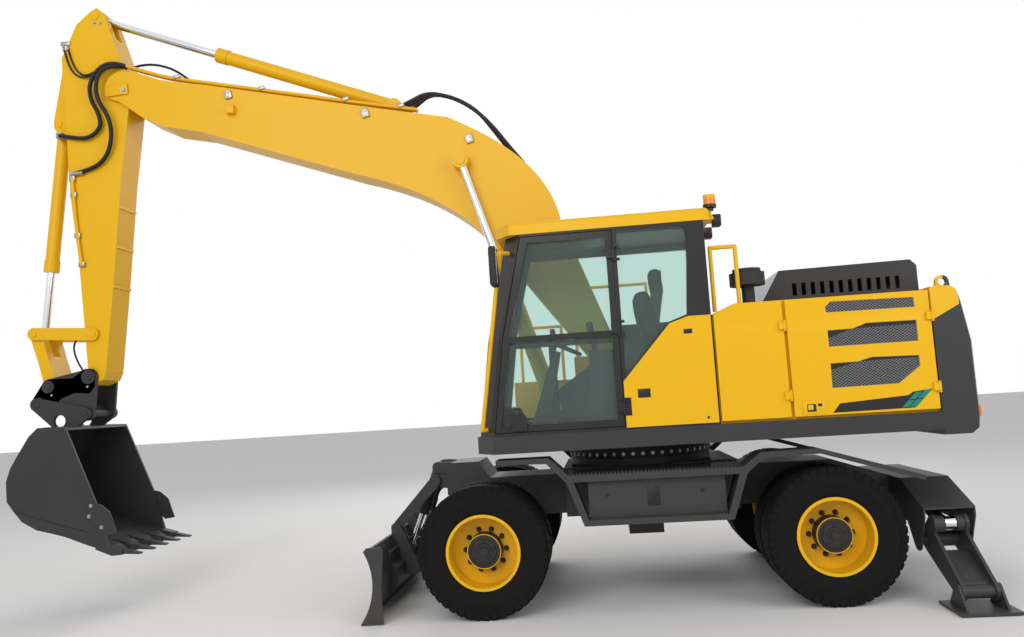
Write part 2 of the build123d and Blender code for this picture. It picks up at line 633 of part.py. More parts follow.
# Revolving deck with its boom brackets
DECK_OUTLINE = [
    (DECK_FRONT, -1000),
    (DECK_FRONT, 1000),
    (DECK_CORNER, HALF_WIDTH),
    (DECK_REAR, HALF_WIDTH),
    (DECK_REAR, -HALF_WIDTH),
    (DECK_CORNER, -HALF_WIDTH),
]
DECK_HOLLOW = [
    (DECK_FRONT - 25, -985),
    (DECK_FRONT - 25, 985),
    (DECK_CORNER - 20, HALF_WIDTH - 25),
    (DECK_REAR + 25, HALF_WIDTH - 25),
    (DECK_REAR + 25, -HALF_WIDTH + 25),
    (DECK_CORNER - 20, -HALF_WIDTH + 25),
]
BRACKET_OUTER = BRACKET_INNER + BRACKET_WALL
RAM_LUG_Y = BOOM_RAM_Y + 45 + SIDE_GAP
with BuildPart() as deck_frame:
    level_plate(DECK_OUTLINE, DECK_BOTTOM, DECK_TOP)
    level_plate(DECK_HOLLOW, DECK_BOTTOM - 1, DECK_TOP - DECK_PLATE, Mode.SUBTRACT)
    for y_low in (-BRACKET_OUTER - 40, BRACKET_INNER):
        block(DECK_REAR + 1, DECK_FRONT - 1, y_low, y_low + BRACKET_WALL + 40, DECK_BOTTOM, DECK_TOP - 1)
    level_disc((0, 0), DECK_FLANGE, DECK_BOTTOM, DECK_TOP - 1)
    level_disc((0, 0), RING_HOLE + 60, DECK_BOTTOM - 1, DECK_TOP - DECK_PLATE, Mode.SUBTRACT)
    level_disc((0, 0), DECK_FLANGE, RING_TOP + SEAT_GAP, DECK_BOTTOM + 10)
    level_disc((0, 0), RING_HOLE + 20, RING_TOP, DECK_BOTTOM + 11, Mode.SUBTRACT)
    bracket = [(-150, DECK_TOP - 1), (80, 2000), (200, 2118), (300, 2080), (850, 1700), (870, DECK_TOP - 1)]
    for sign in (1, -1):
        side_plate(bracket, *band(BRACKET_INNER, BRACKET_OUTER, sign))
        side_disc(BOOM_FOOT, 118, *band(BRACKET_INNER, BRACKET_OUTER, sign))
        side_disc(BOOM_RAM_BASE, 40, *band(BRACKET_INNER, RAM_LUG_Y + 16, sign))
        lug = [(680, DECK_TOP - 1), (700, BOOM_RAM_BASE[1] + 30), (760, BOOM_RAM_BASE[1] + 70)]
        lug += [(820, BOOM_RAM_BASE[1] + 30), (840, DECK_TOP - 1)]
        side_plate(lug, *band(RAM_LUG_Y, RAM_LUG_Y + 16, sign))
    side_disc(BOOM_FOOT, 50, -BRACKET_OUTER - 12, BRACKET_OUTER + 12)
save(deck_frame, "deck_frame")


# Cab
CAB_LEVELS = ((CAB_BOTTOM, 1206.0), (2213.0, 1098.0), (CAB_TOP, 899.0))
CAB_NOSE = 130.0
CAB_CORNER = 170.0


def cab_plan(z, corner_x, inset):
    """Plan of the cab at a height: a rectangle with its front left corner cut off."""
    front = corner_x + CAB_NOSE - inset
    left = HALF_WIDTH - inset
    right = CAB_RIGHT + inset
    rear = CAB_REAR + inset
    return [
        (rear, right),
        (front, right),
        (front, left - CAB_CORNER),
        (corner_x - inset * 0.6, left),
        (rear, left),
    ]


def cab_body(inset, low_trim, high_trim):
    """The cab's outer or inner form, as lofts between its three levels."""
    for (z_a, x_a), (z_b, x_b) in zip(CAB_LEVELS, CAB_LEVELS[1:]):
        z_low = z_a + (low_trim if z_a == CAB_BOTTOM else 0)
        z_high = z_b - (high_trim if z_b == CAB_TOP else 0)
        faces = []
        for z in (z_low, z_high):
            x = x_a + (x_b - x_a) * (z - z_a) / (z_b - z_a)
            with BuildSketch(level(z)) as plan:
                with BuildLine():
                    Polyline(*cab_plan(z, x, inset), close=True)
                make_face()
            faces.append(plan.sketch)
        yield faces


def corner_at(z):
    """Where the cab's left wall ends at the front, at a height."""
    for (z_a, x_a), (z_b, x_b) in zip(CAB_LEVELS, CAB_LEVELS[1:]):
        if z <= z_b:
            return x_a + (x_b - x_a) * (z - z_a) / (z_b - z_a)
    return CAB_LEVELS[-1][1]


DOOR_LOW, DOOR_SILL, DOOR_HIGH = 1470.0, 2213.0, 3050.0
QUARTER = [(118, 3035), (118, 1860), (-249, 2272), (-403, 2325), (-448, 2940), (-430, 3035)]


def door_outline(gap):
    """Outline of the cab door, grown by a gap all round."""
    return [
        (CAB_DOOR_REAR - gap, DOOR_LOW - gap),
        (corner_at(DOOR_LOW) - 12 + gap, DOOR_LOW - gap),
        (corner_at(DOOR_SILL) - 12 + gap, DOOR_SILL),
        (corner_at(DOOR_HIGH) - 12 + gap, DOOR_HIGH + gap),
        (CAB_DOOR_REAR - gap, DOOR_HIGH + gap),
    ]


def door_panes(margin):
    """Outlines of the upper and lower openings in the cab door."""
    rear = CAB_DOOR_REAR + margin
    lower = [
        (rear, DOOR_LOW + margin),
        (corner_at(DOOR_LOW) - 12 - margin, DOOR_LOW + margin),
        (corner_at(DOOR_SILL) - 12 - margin, DOOR_SILL - 25),
        (rear, DOOR_SILL - 25),
    ]
    upper = [
        (rear, DOOR_SILL + 25),
        (corner_at(DOOR_SILL) - 12 - margin, DOOR_SILL + 25),
        (corner_at(DOOR_HIGH) - 12 - margin, DOOR_HIGH - margin),
        (rear, DOOR_HIGH - margin),
    ]
    return lower, upper


WINDSCREEN = [(430, 1560), (1010, 1560), (1010, 2990), (430, 2990)]
REAR_WINDOW = [(430, 2420), (1180, 2420), (1180, 2990), (430, 2990)]
RIGHT_WINDOWS = (
    [(150, 1560), (1150, 1560), (1060, 2190), (150, 2190)],
    [(150, 2240), (1060, 2240), (880, 2980), (150, 2980)],
    [(90, 2340), (90, 2980), (-530, 2980), (-530, 2340)],
)
with BuildPart() as cab_shell:
    for faces in cab_body(0, 0, 0):
        loft(faces, ruled=True)
    for faces in cab_body(CAB_WALL, CAB_WALL, CAB_WALL):
        loft(faces, ruled=True, mode=Mode.SUBTRACT)
    side_plate(door_outline(MOVE_GAP), HALF_WIDTH - CAB_WALL - 5, HALF_WIDTH + 5, Mode.SUBTRACT)
    side_plate(QUARTER, HALF_WIDTH - CAB_WALL - 5, HALF_WIDTH + 5, Mode.SUBTRACT)
    for window in RIGHT_WINDOWS:
        side_plate(window, CAB_RIGHT - 5, CAB_RIGHT + CAB_WALL + 5, Mode.SUBTRACT)
    cross_plate(WINDSCREEN, 700, 1500, Mode.SUBTRACT)
    cross_plate(REAR_WINDOW, CAB_REAR - 5, CAB_REAR + CAB_WALL + 5, Mode.SUBTRACT)
save(cab_shell, "cab_shell")


# Cab roof with its beacon and rear work lamps
ROOF_INNER = 367.0
with BuildPart() as cab_roof:
    with BuildSketch(level(CAB_TOP + SEAT_GAP)) as plan:
        with BuildLine():
            Polyline((-646, ROOF_INNER), (-646, 1256), (985, 1256), (1105, 1090), (1105, ROOF_INNER), close=True)
        make_face()
        fillet(plan.vertices(), 40)
    extrude(plan.sketch, amount=104)
    fillet(cab_roof.faces().sort_by(Axis.Z)[-1].edges(), 38)
    block(-700, -640, 420, 470, 3090, 3130)
    block(-700, -640, 980, 1030, 3090, 3130)
    for y in (400, 960):
        block(-760, -699, y, y + 90, 3060, 3150)
    level_disc((-670, 1120), 12, 3100, 3215)
    block(-690, -600, 1100, 1140, 3095, 3120)
    level_disc((-670, 1120), 50, 3214, 3300)
save(cab_roof, "cab_roof")

# Skin of the cab below the quarter window
SIDE_PANEL = [(138, 1456), (138, 1822), (-257, 2260), (-409, 2308), (-584, 2308), (-584, 1456)]
SKIN = 12.0
with BuildPart() as cab_side_panel:
    side_plate(SIDE_PANEL, HALF_WIDTH + SEAT_GAP, HALF_WIDTH + SEAT_GAP + SKIN)
    block(88, 140, HALF_WIDTH - 5, HALF_WIDTH + 20, 1550, 1692, Mode.SUBTRACT)
save(cab_side_panel, "cab_side_panel")


def shrunk(points, gap):
    """An outline drawn a little inside another one."""
    with BuildSketch() as outline:
        with BuildLine():
            Polyline(*points, close=True)
        make_face()
        offset(amount=-gap, kind=Kind.INTERSECTION)
    corners = outline.sketch.faces()[0].outer_wire().order_edges()
    return [(edge.position_at(0).X, edge.position_at(0).Y) for edge in corners]


# Fixed panes of the cab
with BuildPart() as openings:
    side_plate(shrunk(QUARTER, SEAT_GAP), HALF_WIDTH - CAB_WALL - 5, HALF_WIDTH + 5)
    for window in RIGHT_WINDOWS:
        side_plate(shrunk(window, SEAT_GAP), CAB_RIGHT - 5, CAB_RIGHT + CAB_WALL + 5)
    cross_plate(shrunk(WINDSCREEN, SEAT_GAP), 700, 1500)
    cross_plate(shrunk(REAR_WINDOW, SEAT_GAP), CAB_REAR - 5, CAB_REAR + CAB_WALL + 5)
with BuildPart() as cab_glass:
    for faces in cab_body(15, 0, 0):
        loft(faces, ruled=True)
    for faces in cab_body(15 + GLASS_WALL, 0, 0):
        loft(faces, ruled=True, mode=Mode.SUBTRACT)
    add(openings.part, mode=Mode.INTERSECT)
save(cab_glass, "cab_glass")

# Cab door with its handle and hinges
DOOR_HINGE = (147.0, 1266.0)
HINGE_PIN = 8.0
HINGE_LEVELS = (1620.0, 2250.0, 2860.0)
with BuildPart() as cab_door:
    side_plate(door_outline(0), HALF_WIDTH - CAB_WALL, HALF_WIDTH)
    for pane in door_panes(52):
        side_plate(pane, HALF_WIDTH - CAB_WALL - 1, HALF_WIDTH + 1, Mode.SUBTRACT)
    block(930, 1040, HALF_WIDTH - 1, HALF_WIDTH + 30, 1480, 1600)
    block(160, 196, 1165, 1206, 1900, 2050)
    for z in HINGE_LEVELS:
        level_disc(DOOR_HINGE, 15, z - 40, z + 40)
        block(147, 205, HALF_WIDTH - 1, DOOR_HINGE[1] + 10, z - 40, z + 40)
        level_disc(DOOR_HINGE, HINGE_PIN + PIN_GAP, z - 41, z + 41, Mode.SUBTRACT)
save(cab_door, "cab_door")
with BuildPart() as door_glass:
    for pane in door_panes(52):
        side_plate(shrunk(pane, SEAT_GAP), HALF_WIDTH - 22 - GLASS_WALL, HALF_WIDTH - 22)
save(door_glass, "door_glass")

# Seat, consoles, steering column and floor of the cab
CAB_FLOOR = CAB_BOTTOM + CAB_WALL + SEAT_GAP
with BuildPart() as cab_interior:
    block(-500, 1100, 440, 1180, CAB_FLOOR, CAB_FLOOR + 15)
    block(-160, 280, 640, 960, CAB_FLOOR, 1860)
    block(-200, 340, 590, 1010, 1850, 1960)
    side_plate([(-130, 1900), (-20, 1900), (-160, 2560), (-250, 2560)], 600, 1000)
    side_plate([(-245, 2540), (-165, 2540), (-195, 2740), (-255, 2740)], 690, 910)
    for y in (480, 1040):
        block(-160, 420, y, y + 100, CAB_FLOOR, 1700)
        block(-120, 400, y, y + 100, 1690, 2090)
        round_bar((340, y + 50, 2080), (370, y + 50, 2240), 16)
        round_bar((368, y + 50, 2230), (380, y + 50, 2330), 27)
    side_plate([(780, CAB_FLOOR), (930, CAB_FLOOR), (700, 2130), (640, 2110)], 760, 840)
    with BuildSketch(Plane(origin=(SWING_X + 640, 800, 2150), z_dir=(-0.45, 0, 0.9))) as wheel:
        Circle(190)
        Circle(165, mode=Mode.SUBTRACT)
        Rectangle(30, 340)
        Rectangle(340, 30)
    extrude(wheel.sketch, amount=28)
    block(700, 1040, 640, 960, CAB_FLOOR, CAB_FLOOR + 60)
    block(700, 760, 420, 470, CAB_FLOOR, 2200)
    block(690, 730, 430, 640, 2150, 2330)
    block(-540, -420, 440, 1180, CAB_FLOOR, 2250)
save(cab_interior, "cab_interior")

# Engine with its cooler
with BuildPart() as engine_block:
    block(-2080, -1330, -420, 300, DECK_TOP + SEAT_GAP, 2150)
save(engine_block, "engine_block")

# Housing of the engine bay, the nook behind the cab and the middle cover
HOUSE_HALF = HALF_WIDTH - DOOR_WALL - MOVE_GAP
HOUSE_LOW = DECK_TOP + SEAT_GAP
HOOD_OPENING = (-2200.0, -1180.0, -760.0, 780.0)
with BuildPart() as body_panels:
    block(BAY_REAR, BAY_FRONT, -HOUSE_HALF, HOUSE_HALF, HOUSE_LOW, HOOD_TOP)
    block(BAY_REAR + 25, BAY_FRONT - 25, -HOUSE_HALF + 30, HOUSE_HALF - 30, HOUSE_LOW - 1, HOOD_TOP - 20, Mode.SUBTRACT)
    block(*HOOD_OPENING, HOOD_TOP - 30, HOOD_TOP + 1, Mode.SUBTRACT)
    for y_low, y_high in ((HOUSE_HALF - 40, HALF_WIDTH), (-HALF_WIDTH, -HOUSE_HALF + 40)):
        block(BAY_REAR + 90, BAY_FRONT - 90, y_low, y_high, 1560, 2250, Mode.SUBTRACT)
    nook = [(-603, HOUSE_LOW), (-603, 2312), (-786, HOOD_TOP), (BAY_FRONT - 1, HOOD_TOP), (BAY_FRONT - 1, HOUSE_LOW)]
    nook_hollow = [(-628, HOUSE_LOW - 1), (-628, 2290), (-795, HOOD_TOP - 22), (-1140, HOOD_TOP - 22)]
    nook_hollow += [(-1140, HOUSE_LOW - 1)]
    side_plate(nook, 380, HOUSE_HALF)
    side_plate(nook_hollow, 405, HOUSE_HALF - 30, Mode.SUBTRACT)
    block(-1080, -680, HOUSE_HALF - 40, HALF_WIDTH, 1560, 2230, Mode.SUBTRACT)
    side_plate([(-350, HOUSE_LOW), (-420, 1850), (-610, 1860), (-610, HOUSE_LOW)], -395, 362)
    side_plate([(-609, HOUSE_LOW), (-609, 1860), (BAY_FRONT - 1, 1900), (BAY_FRONT - 1, HOUSE_LOW)], -395, 381)
save(body_panels, "body_panels")

# Engine hood with its raised vent box
HOOD_HINGE = (-2378.0, 2428.0)
with BuildPart() as engine_hood:
    top = [(-1068, 2393), (-1240, 2675), (-2310, 2690), (-2358, 2640), (-2358, 2414), (-2262, 2414), (-2250, 2393)]
    side_plate(top, -520, 800)
    hollow = [(-1110, 2390), (-1262, 2650), (-2240, 2660), (-2240, 2390)]
    side_plate(hollow, -495, 775, Mode.SUBTRACT)
    with BuildPart() as lid:
        block(-2245, -1068, -800, 822, HOOD_TOP + MOVE_GAP, HOOD_TOP + MOVE_GAP + 14)
        block(-2220, -1120, -494, 774, HOOD_TOP, HOOD_TOP + 30, Mode.SUBTRACT)
    add(lid.part)
    SLOT_COUNT = 12
    for step in range(SLOT_COUNT):
        x = -1340 - step * 76
        block(x - 36, x, 770, 805, 2455, 2560, Mode.SUBTRACT)
        block(x - 36, x, -525, -490, 2455, 2560, Mode.SUBTRACT)
    for y in (-420, 620):
        side_disc(HOOD_HINGE, 16, y, y + 80)
        block(HOOD_HINGE[0], -2350, y, y + 80, HOOD_HINGE[1] - 8, HOOD_HINGE[1] + 16)
        side_disc(HOOD_HINGE, HINGE_PIN + PIN_GAP, y - 1, y + 81, Mode.SUBTRACT)
save(engine_hood, "engine_hood")

# Doors of the engine bay and of the nook
BODY_HINGE_Y = HALF_WIDTH + 14
BODY_HINGE_LEVELS = (1600, 2150)
NOOK_HINGE_X = -1149.0
BAY_HINGE_X = -2266.0


CREASE_LOW, CREASE_HIGH, CREASE_DEPTH = 2128.0, 2223.0, 8.0
GRILLE_DEPTH = 20.0


def side_door(outline, sign, hinge_x, grilles):
    """A body door with a stepped upper part, recesses for its grilles and hinge barrels."""
    low, high = band(HALF_WIDTH - DOOR_WALL, HALF_WIDTH, sign)
    step_face = HALF_WIDTH - CREASE_DEPTH
    step = [(HALF_WIDTH, CREASE_LOW), (step_face, CREASE_HIGH), (step_face, HOOD_TOP + 10)]
    step += [(HALF_WIDTH + 10, HOOD_TOP + 10), (HALF_WIDTH + 10, CREASE_LOW)]
    ahead = [point[0] for point in outline]
    with BuildPart() as door:
        side_plate(outline, low, high)
        cross_plate([(sign * y, z) for y, z in step], min(ahead) - 1, max(ahead) + 1, Mode.SUBTRACT)
        for grille in grilles:
            side_plate(grille, *band(HALF_WIDTH - GRILLE_DEPTH, HALF_WIDTH + 1, sign), Mode.SUBTRACT)
        for z in BODY_HINGE_LEVELS:
            centre = (hinge_x, sign * BODY_HINGE_Y)
            level_disc(centre, 13, z, z + 60)
            block(hinge_x, hinge_x + 45, *band(HALF_WIDTH - CREASE_DEPTH - 2, HALF_WIDTH + 20, sign), z, z + 60)
            level_disc(centre, HINGE_PIN + PIN_GAP, z - 1, z + 61, Mode.SUBTRACT)
    return door


LEFT_FRONT_DOOR = [(-609, 1462), (-609, 2306), (-789, 2381), (-1143, 2381), (-1143, 1462)]
REAR_DOOR = [(-1168, 1462), (-1168, 2381), (-2259, 2381), (-2259, 1462)]
TOP_GRILLE = [(-1479, 2259), (-1473, 2303), (-1519, 2345), (-2148, 2335), (-2150, 2256)]
MIDDLE_GRILLE = [(-1475, 1989), (-1474, 2119), (-1665, 2121), (-1773, 2158), (-2150, 2155), (-2149, 1991)]
LOW_GRILLE = [(-1470, 1667), (-1473, 1860), (-1681, 1862), (-1788, 1890), (-2142, 1881), (-2144, 1799), (-1972, 1672)]
GRILLES = (TOP_GRILLE, MIDDLE_GRILLE, LOW_GRILLE)
save(side_door(LEFT_FRONT_DOOR, 1, NOOK_HINGE_X, ()), "left_front_door")
save(side_door(REAR_DOOR, 1, BAY_HINGE_X, GRILLES), "left_rear_door")
save(side_door(REAR_DOOR, -1, BAY_HINGE_X, GRILLES), "right_door")

# Hinge pins and brackets on the cab, the body and the counterweight
with BuildPart() as fixed_hinges:
    for z in HINGE_LEVELS:
        level_disc(DOOR_HINGE, HINGE_PIN, z - 60, z + 60)
        for edge in (z - 62, z + 42):
            level_disc(DOOR_HINGE, 15, edge, edge + 20)
            block(95, 147, HALF_WIDTH + SEAT_GAP, DOOR_HINGE[1] + 10, edge, edge + 20)
    for y in (-420, 620):
        side_disc(HOOD_HINGE, HINGE_PIN, y - 24, y + 104)
        for edge in (y - 26, y + 84):
            side_disc(HOOD_HINGE, 16, edge, edge + 22)
            block(HOOD_HINGE[0] - 14, HOOD_HINGE[0] + 14, edge, edge + 22, TAIL_TOP + SEAT_GAP, HOOD_HINGE[1])
    for x, sign in ((NOOK_HINGE_X, 1), (BAY_HINGE_X, 1), (BAY_HINGE_X, -1)):
        for z in BODY_HINGE_LEVELS:
            level_disc((x, sign * BODY_HINGE_Y), HINGE_PIN, z - 14, z + 74)
            for edge in (z - 14, z + 62):
                level_disc((x, sign * BODY_HINGE_Y), 12, edge, edge + 12)
                block(x - 3, x + 3, *band(HOUSE_HALF + SEAT_GAP, BODY_HINGE_Y, sign), edge, edge + 12)
save(fixed_hinges, "fixed_hinges")

# Counterweight
COUNTER_FRONT = DECK_REAR - SEAT_GAP
LIFT_EYE = (-2470.0, 2465.0)
with BuildPart() as counterweight:
    with BuildSketch(Plane(origin=(SWING_X, 0, 0), x_dir=(-1, 0, 0), z_dir=(0, 1, 0))) as section:
        with BuildLine():
            Polyline((2000, TAIL_BOTTOM), (2770, TAIL_BOTTOM), (2815, 1300), (TAIL_RADIUS, 1380), (TAIL_RADIUS, 1972))
            Polyline((TAIL_RADIUS, 1972), (2781, 2287), (2758, 2380), (2730, TAIL_TOP), (2000, TAIL_TOP), (2000, TAIL_BOTTOM))
        make_face()
    revolve(section.sketch, axis=Axis((SWING_X, 0, 0), (0, 0, 1)))
    block(-2900, COUNTER_FRONT, -HALF_WIDTH, HALF_WIDTH, TAIL_BOTTOM - 5, TAIL_TOP + 5, Mode.INTERSECT)
    for sign in (1, -1):
        block(-2680, -2585, *band(1060, 1170, sign), 1380, 1480, Mode.SUBTRACT)
        eye_low, eye_high = band(EYE_Y - EYE_WALL / 2, EYE_Y + EYE_WALL / 2, sign)
        side_link([(-2520, TAIL_TOP - 10), (-2420, TAIL_TOP - 10), LIFT_EYE], (10, 10, 52), eye_low, eye_high)
        side_disc(LIFT_EYE, EYE_BORE, eye_low - 1, eye_high + 1, Mode.SUBTRACT)
save(counterweight, "counterweight")

# Tanks and toolbox on the right
with BuildPart() as tanks:
    block(-310, 560, -HALF_WIDTH, -420, HOUSE_LOW, 2120)
    block(-1145, -309, -HALF_WIDTH, -420, HOUSE_LOW, 2330)
    block(559, 1180, -HALF_WIDTH, -470, HOUSE_LOW, 1900)
    block(1179, 1290, -1150, -560, HOUSE_LOW, 1660)
    level_disc((330, -1050), 60, 2119, 2175)
    level_disc((-700, -800), 60, 2329, 2370)
save(tanks, "tanks")

# Grab rails
RAIL = 17.0


def rail(points):
    """A rail of round tube through a row of points."""
    for start, end in zip(points, points[1:]):
        round_bar(start, end, RAIL)
    for bend in points[1:-1]:
        with Locations((SWING_X + bend[0], bend[1], bend[2])):
            Sphere(RAIL)


with BuildPart() as rails:
    slope = hypot(CAB_NOSE, CAB_CORNER)
    corner_normal = (CAB_CORNER / slope, CAB_NOSE / slope)
    ends = []
    for z, reach in ((1500.0, 48.0), (2940.0, 95.0)):
        middle = (corner_at(z) + CAB_NOSE / 2, HALF_WIDTH - CAB_CORNER / 2)
        ends.append([(middle[0] + corner_normal[0] * d, middle[1] + corner_normal[1] * d, z) for d in (2.8, reach)])
    rail([ends[0][0], ends[0][1], ends[1][1], ends[1][0]])
    rail([(-640, 1130, 2337), (-640, 1130, 2860), (-840, 1130, 2860), (-840, 1130, HOOD_TOP + SEAT_GAP)])
    rail([(540, -1180, 2120.3), (540, -1180, 2900), (-250, -1180, 2900), (-250, -1180, 2120.3)])
    rail([(1150, -1180, 1900.3), (1150, -1180, 2500), (700, -1180, 2500), (700, -1180, 1900.3)])
save(rails, "rails")

# Mirrors
LEFT_MIRROR_X = 1096.0
with BuildPart() as mirrors:
    round_bar((LEFT_MIRROR_X, 1237.4, 2790), (LEFT_MIRROR_X, 1400, 2790), 12)
    block(LEFT_MIRROR_X - 10, LEFT_MIRROR_X + 30, 1310, 1490, 2640, 2960)
    round_bar((1150, -1197.4, 2450), (1150, -1330, 2450), 12)
    block(1130, 1170, -1420, -1240, 2400, 2740)
save(mirrors, "mirrors")

# Air intake beside the hood, clear of the hood's swing
INTAKE = (-941.0, 985.0)
INTAKE_RADIUS = 142.0
with BuildPart() as air_intake:
    level_disc(INTAKE, 52, HOOD_TOP + SEAT_GAP, 2556)
    level_disc(INTAKE, INTAKE_RADIUS, 2546, 2650)
    level_disc(INTAKE, 114, 2649, 2683)
save(air_intake, "air_intake")

# Boom
with BuildPart() as boom:
    with BuildSketch(side(BOOM_HALF)) as outline:
        with BuildLine():
            Polyline((310, 1950), (200, 1890), (90, 2030), (577, 3377))
            Spline((577, 3377), (692, 3715), (992, 4085), (1352, 4345), (1604, 4488))
            upper = [(1604, 4488), (2459, 4682), (4081, 5065), (4185, 5078), (4498, 5151), (4771, 5262)]
            nose = [(4952, 5281), (5040, 5238), (5083, 5160), (5085, 5080), (5040, 5010), (4947, 4977)]
            lower = [(4686, 4776), (4458, 4661), (4095, 4580), (3113, 4218), (2500, 3994)]
            Polyline(*upper, *nose, *lower)
            Spline((2500, 3994), (2067, 3836), (1698, 3637), (1319, 3322), (1100, 3026))
            Line((1100, 3026), (310, 1950))
        make_face()
    extrude(outline.sketch, amount=2 * BOOM_HALF)
    side_disc(BOOM_FOOT, 112, -BOOM_HALF, BOOM_HALF)
    side_disc(BOOM_NOSE, 400, -ARM_HALF - 5, ARM_HALF + 5, Mode.SUBTRACT)
    side_disc(BOOM_NOSE, 45, -BOOM_HALF - 8, BOOM_HALF + 8)
    side_disc(BOOM_FOOT, 50 + PIN_GAP, -BOOM_HALF - 1, BOOM_HALF + 1, Mode.SUBTRACT)
    for sign in (1, -1):
        side_disc(BOOM_EYE, 85, *band(BOOM_HALF - 1, BOOM_RAM_Y - 45 - 3, sign))
        side_link([STICK_RAM_BASE, (1930, 4535), (2330, 4620)], (60, 25, 25), *band(76, 106, sign))
    side_disc(STICK_RAM_BASE, 35, -114, 114)
    block(3720, 3800, BOOM_HALF - 1, BOOM_HALF + 60, 4720, 4800)
save(boom, "boom")

BOOM_RAM_CENTRES = sides(BOOM_RAM_Y)
with BuildPart() as boom_barrels:
    side_rams(BOOM_RAM_BASE, BOOM_EYE, BOOM_RAM_CENTRES, 1560, 62, 38, 75, 45, 40)
save(boom_barrels, "boom_barrels")
with BuildPart() as boom_rods:
    side_rods(BOOM_RAM_BASE, BOOM_EYE, BOOM_RAM_CENTRES, 850, 38, 75, 45)
    for y in BOOM_RAM_CENTRES:
        side_disc(BOOM_EYE, 50, y - 46 if y < 0 else y - 44, y + 46 if y > 0 else y + 44)
save(boom_rods, "boom_rods")

# Arm
with BuildPart() as arm:
    rear = [(5187, 6004), (5119, 5949), (4954, 5457), (4852, 5210), (4842, 5070), (4869, 4839)]
    rear += [(4957, 4175), (5049, 3205), (5150, 2256), (5183, 2179)]
    front = [(5260, 2150), (5337, 2308), (5371, 2788), (5415, 3375), (5492, 4016), (5518, 4411)]
    front += [(5531, 4715), (5575, 5500), (5491, 5673), (5409, 5847), (5258, 5969)]
    side_plate(rear + front, -ARM_HALF, ARM_HALF)
    side_disc(ARM_TIP, 82, -ARM_HALF, ARM_HALF)
    side_disc(ARM_TOP_PIN, 290, -59, 59, Mode.SUBTRACT)
    ear = [(5530, 5440), (5575, 5500), (5673, 4991), (5700, 4860), (5692, 4785), (5655, 4737), (5520, 4690)]
    for sign in (1, -1):
        side_plate(ear, *band(76, 106, sign))
        side_disc(ARM_TOP_PIN, 50, *band(ARM_HALF - 1, ARM_HALF + 8, sign))
    side_disc(BUCKET_RAM_BASE, 33, -114, 114)
    side_disc(LINK_ARM_PIN, 38, -198, 198)
    side_disc(BOOM_NOSE, 45 + PIN_GAP, -ARM_HALF - 1, ARM_HALF + 1, Mode.SUBTRACT)
    side_disc(ARM_TIP, 42 + PIN_GAP, -ARM_HALF - 1, ARM_HALF + 1, Mode.SUBTRACT)
    for z in (3900, 3500, 3100):
        x = 5049 + (z - 3205) * -0.0948
        block(x - 14, x + 10, -150, 150, z - 12, z + 12)
save(arm, "arm")

STICK_CENTRES = (0,)
with BuildPart() as stick_barrel:
    side_rams(STICK_RAM_BASE, ARM_TOP_PIN, STICK_CENTRES, 1966, 68, 40, 58, 72, 35)
save(stick_barrel, "stick_barrel")
with BuildPart() as stick_rod:
    side_rods(STICK_RAM_BASE, ARM_TOP_PIN, STICK_CENTRES, 1420, 40, 62, 55)
save(stick_rod, "stick_rod")
with BuildPart() as bucket_barrel:
    side_rams(BUCKET_RAM_BASE, LINK_ROD_PIN, STICK_CENTRES, 1520, 66, 38, 58, 72, 33)
save(bucket_barrel, "bucket_barrel")
with BuildPart() as bucket_rod:
    side_rods(BUCKET_RAM_BASE, LINK_ROD_PIN, STICK_CENTRES, 980, 38, 60, 50)
save(bucket_rod, "bucket_rod")

# Linkage of the bucket
with BuildPart() as side_links:
    for sign in (1, -1):
        side_link([LINK_ARM_PIN, LINK_ROD_PIN], (62, 60), *band(161, 190, sign))
        side_disc(LINK_ROD_PIN, 36, *band(54, 198, sign))
        side_disc(LINK_ARM_PIN, 38 + PIN_GAP, *band(160, 191, sign), Mode.SUBTRACT)
save(side_links, "side_links")
with BuildPart() as bucket_link:
    knot = along(LINK_ROD_PIN, LINK_HITCH_PIN, 280)
    side_link([knot, LINK_HITCH_PIN], (55, 62), -155, 155)
    for sign in (1, -1):
        side_link([LINK_ROD_PIN, knot], (62, 55), *band(58, 155, sign))
        side_disc(LINK_ROD_PIN, 36 + PIN_GAP, *band(57, 156, sign), Mode.SUBTRACT)
save(bucket_link, "bucket_link")
with BuildPart() as coupler:
    bosses = [ARM_TIP, LINK_HITCH_PIN, HITCH_FRONT_PIN, HITCH_REAR_PIN]
    for sign in (1, -1):
        side_link(bosses, (80, 74, 76, 72), *band(HITCH_INNER, HITCH_OUTER, sign))
        for pin in (ARM_TIP, LINK_HITCH_PIN):
            side_disc(pin, 55, *band(HITCH_OUTER - 1, HITCH_OUTER + 8, sign))
    side_disc((5590, 1760), 130, -HITCH_OUTER - 1, HITCH_OUTER + 1, Mode.SUBTRACT)
    side_link([(5390, 1905), (5600, 1945)], (42, 42), -HITCH_INNER - 1, HITCH_INNER + 1)
    side_disc(ARM_TIP, 42, -HITCH_OUTER, HITCH_OUTER)
    for pin in (HITCH_FRONT_PIN, HITCH_REAR_PIN):
        side_disc(pin, HITCH_PIN_RADIUS + PIN_GAP, -HITCH_OUTER - 1, HITCH_OUTER + 1, Mode.SUBTRACT)
save(coupler, "coupler")

# Bucket
BUCKET_BACK = [
    (5342, 1735),
    (5610, 1752),
    (5705, 1670),
    (5825, 1490),
    (5892, 1381),
    (5935, 1259),
    (5928, 1074),
    (5870, 994),
    (5779, 883),
    (5632, 800),
    (5453, 755),
    (5339, 722),
    (5177, 658),
    (4912, 563),
]


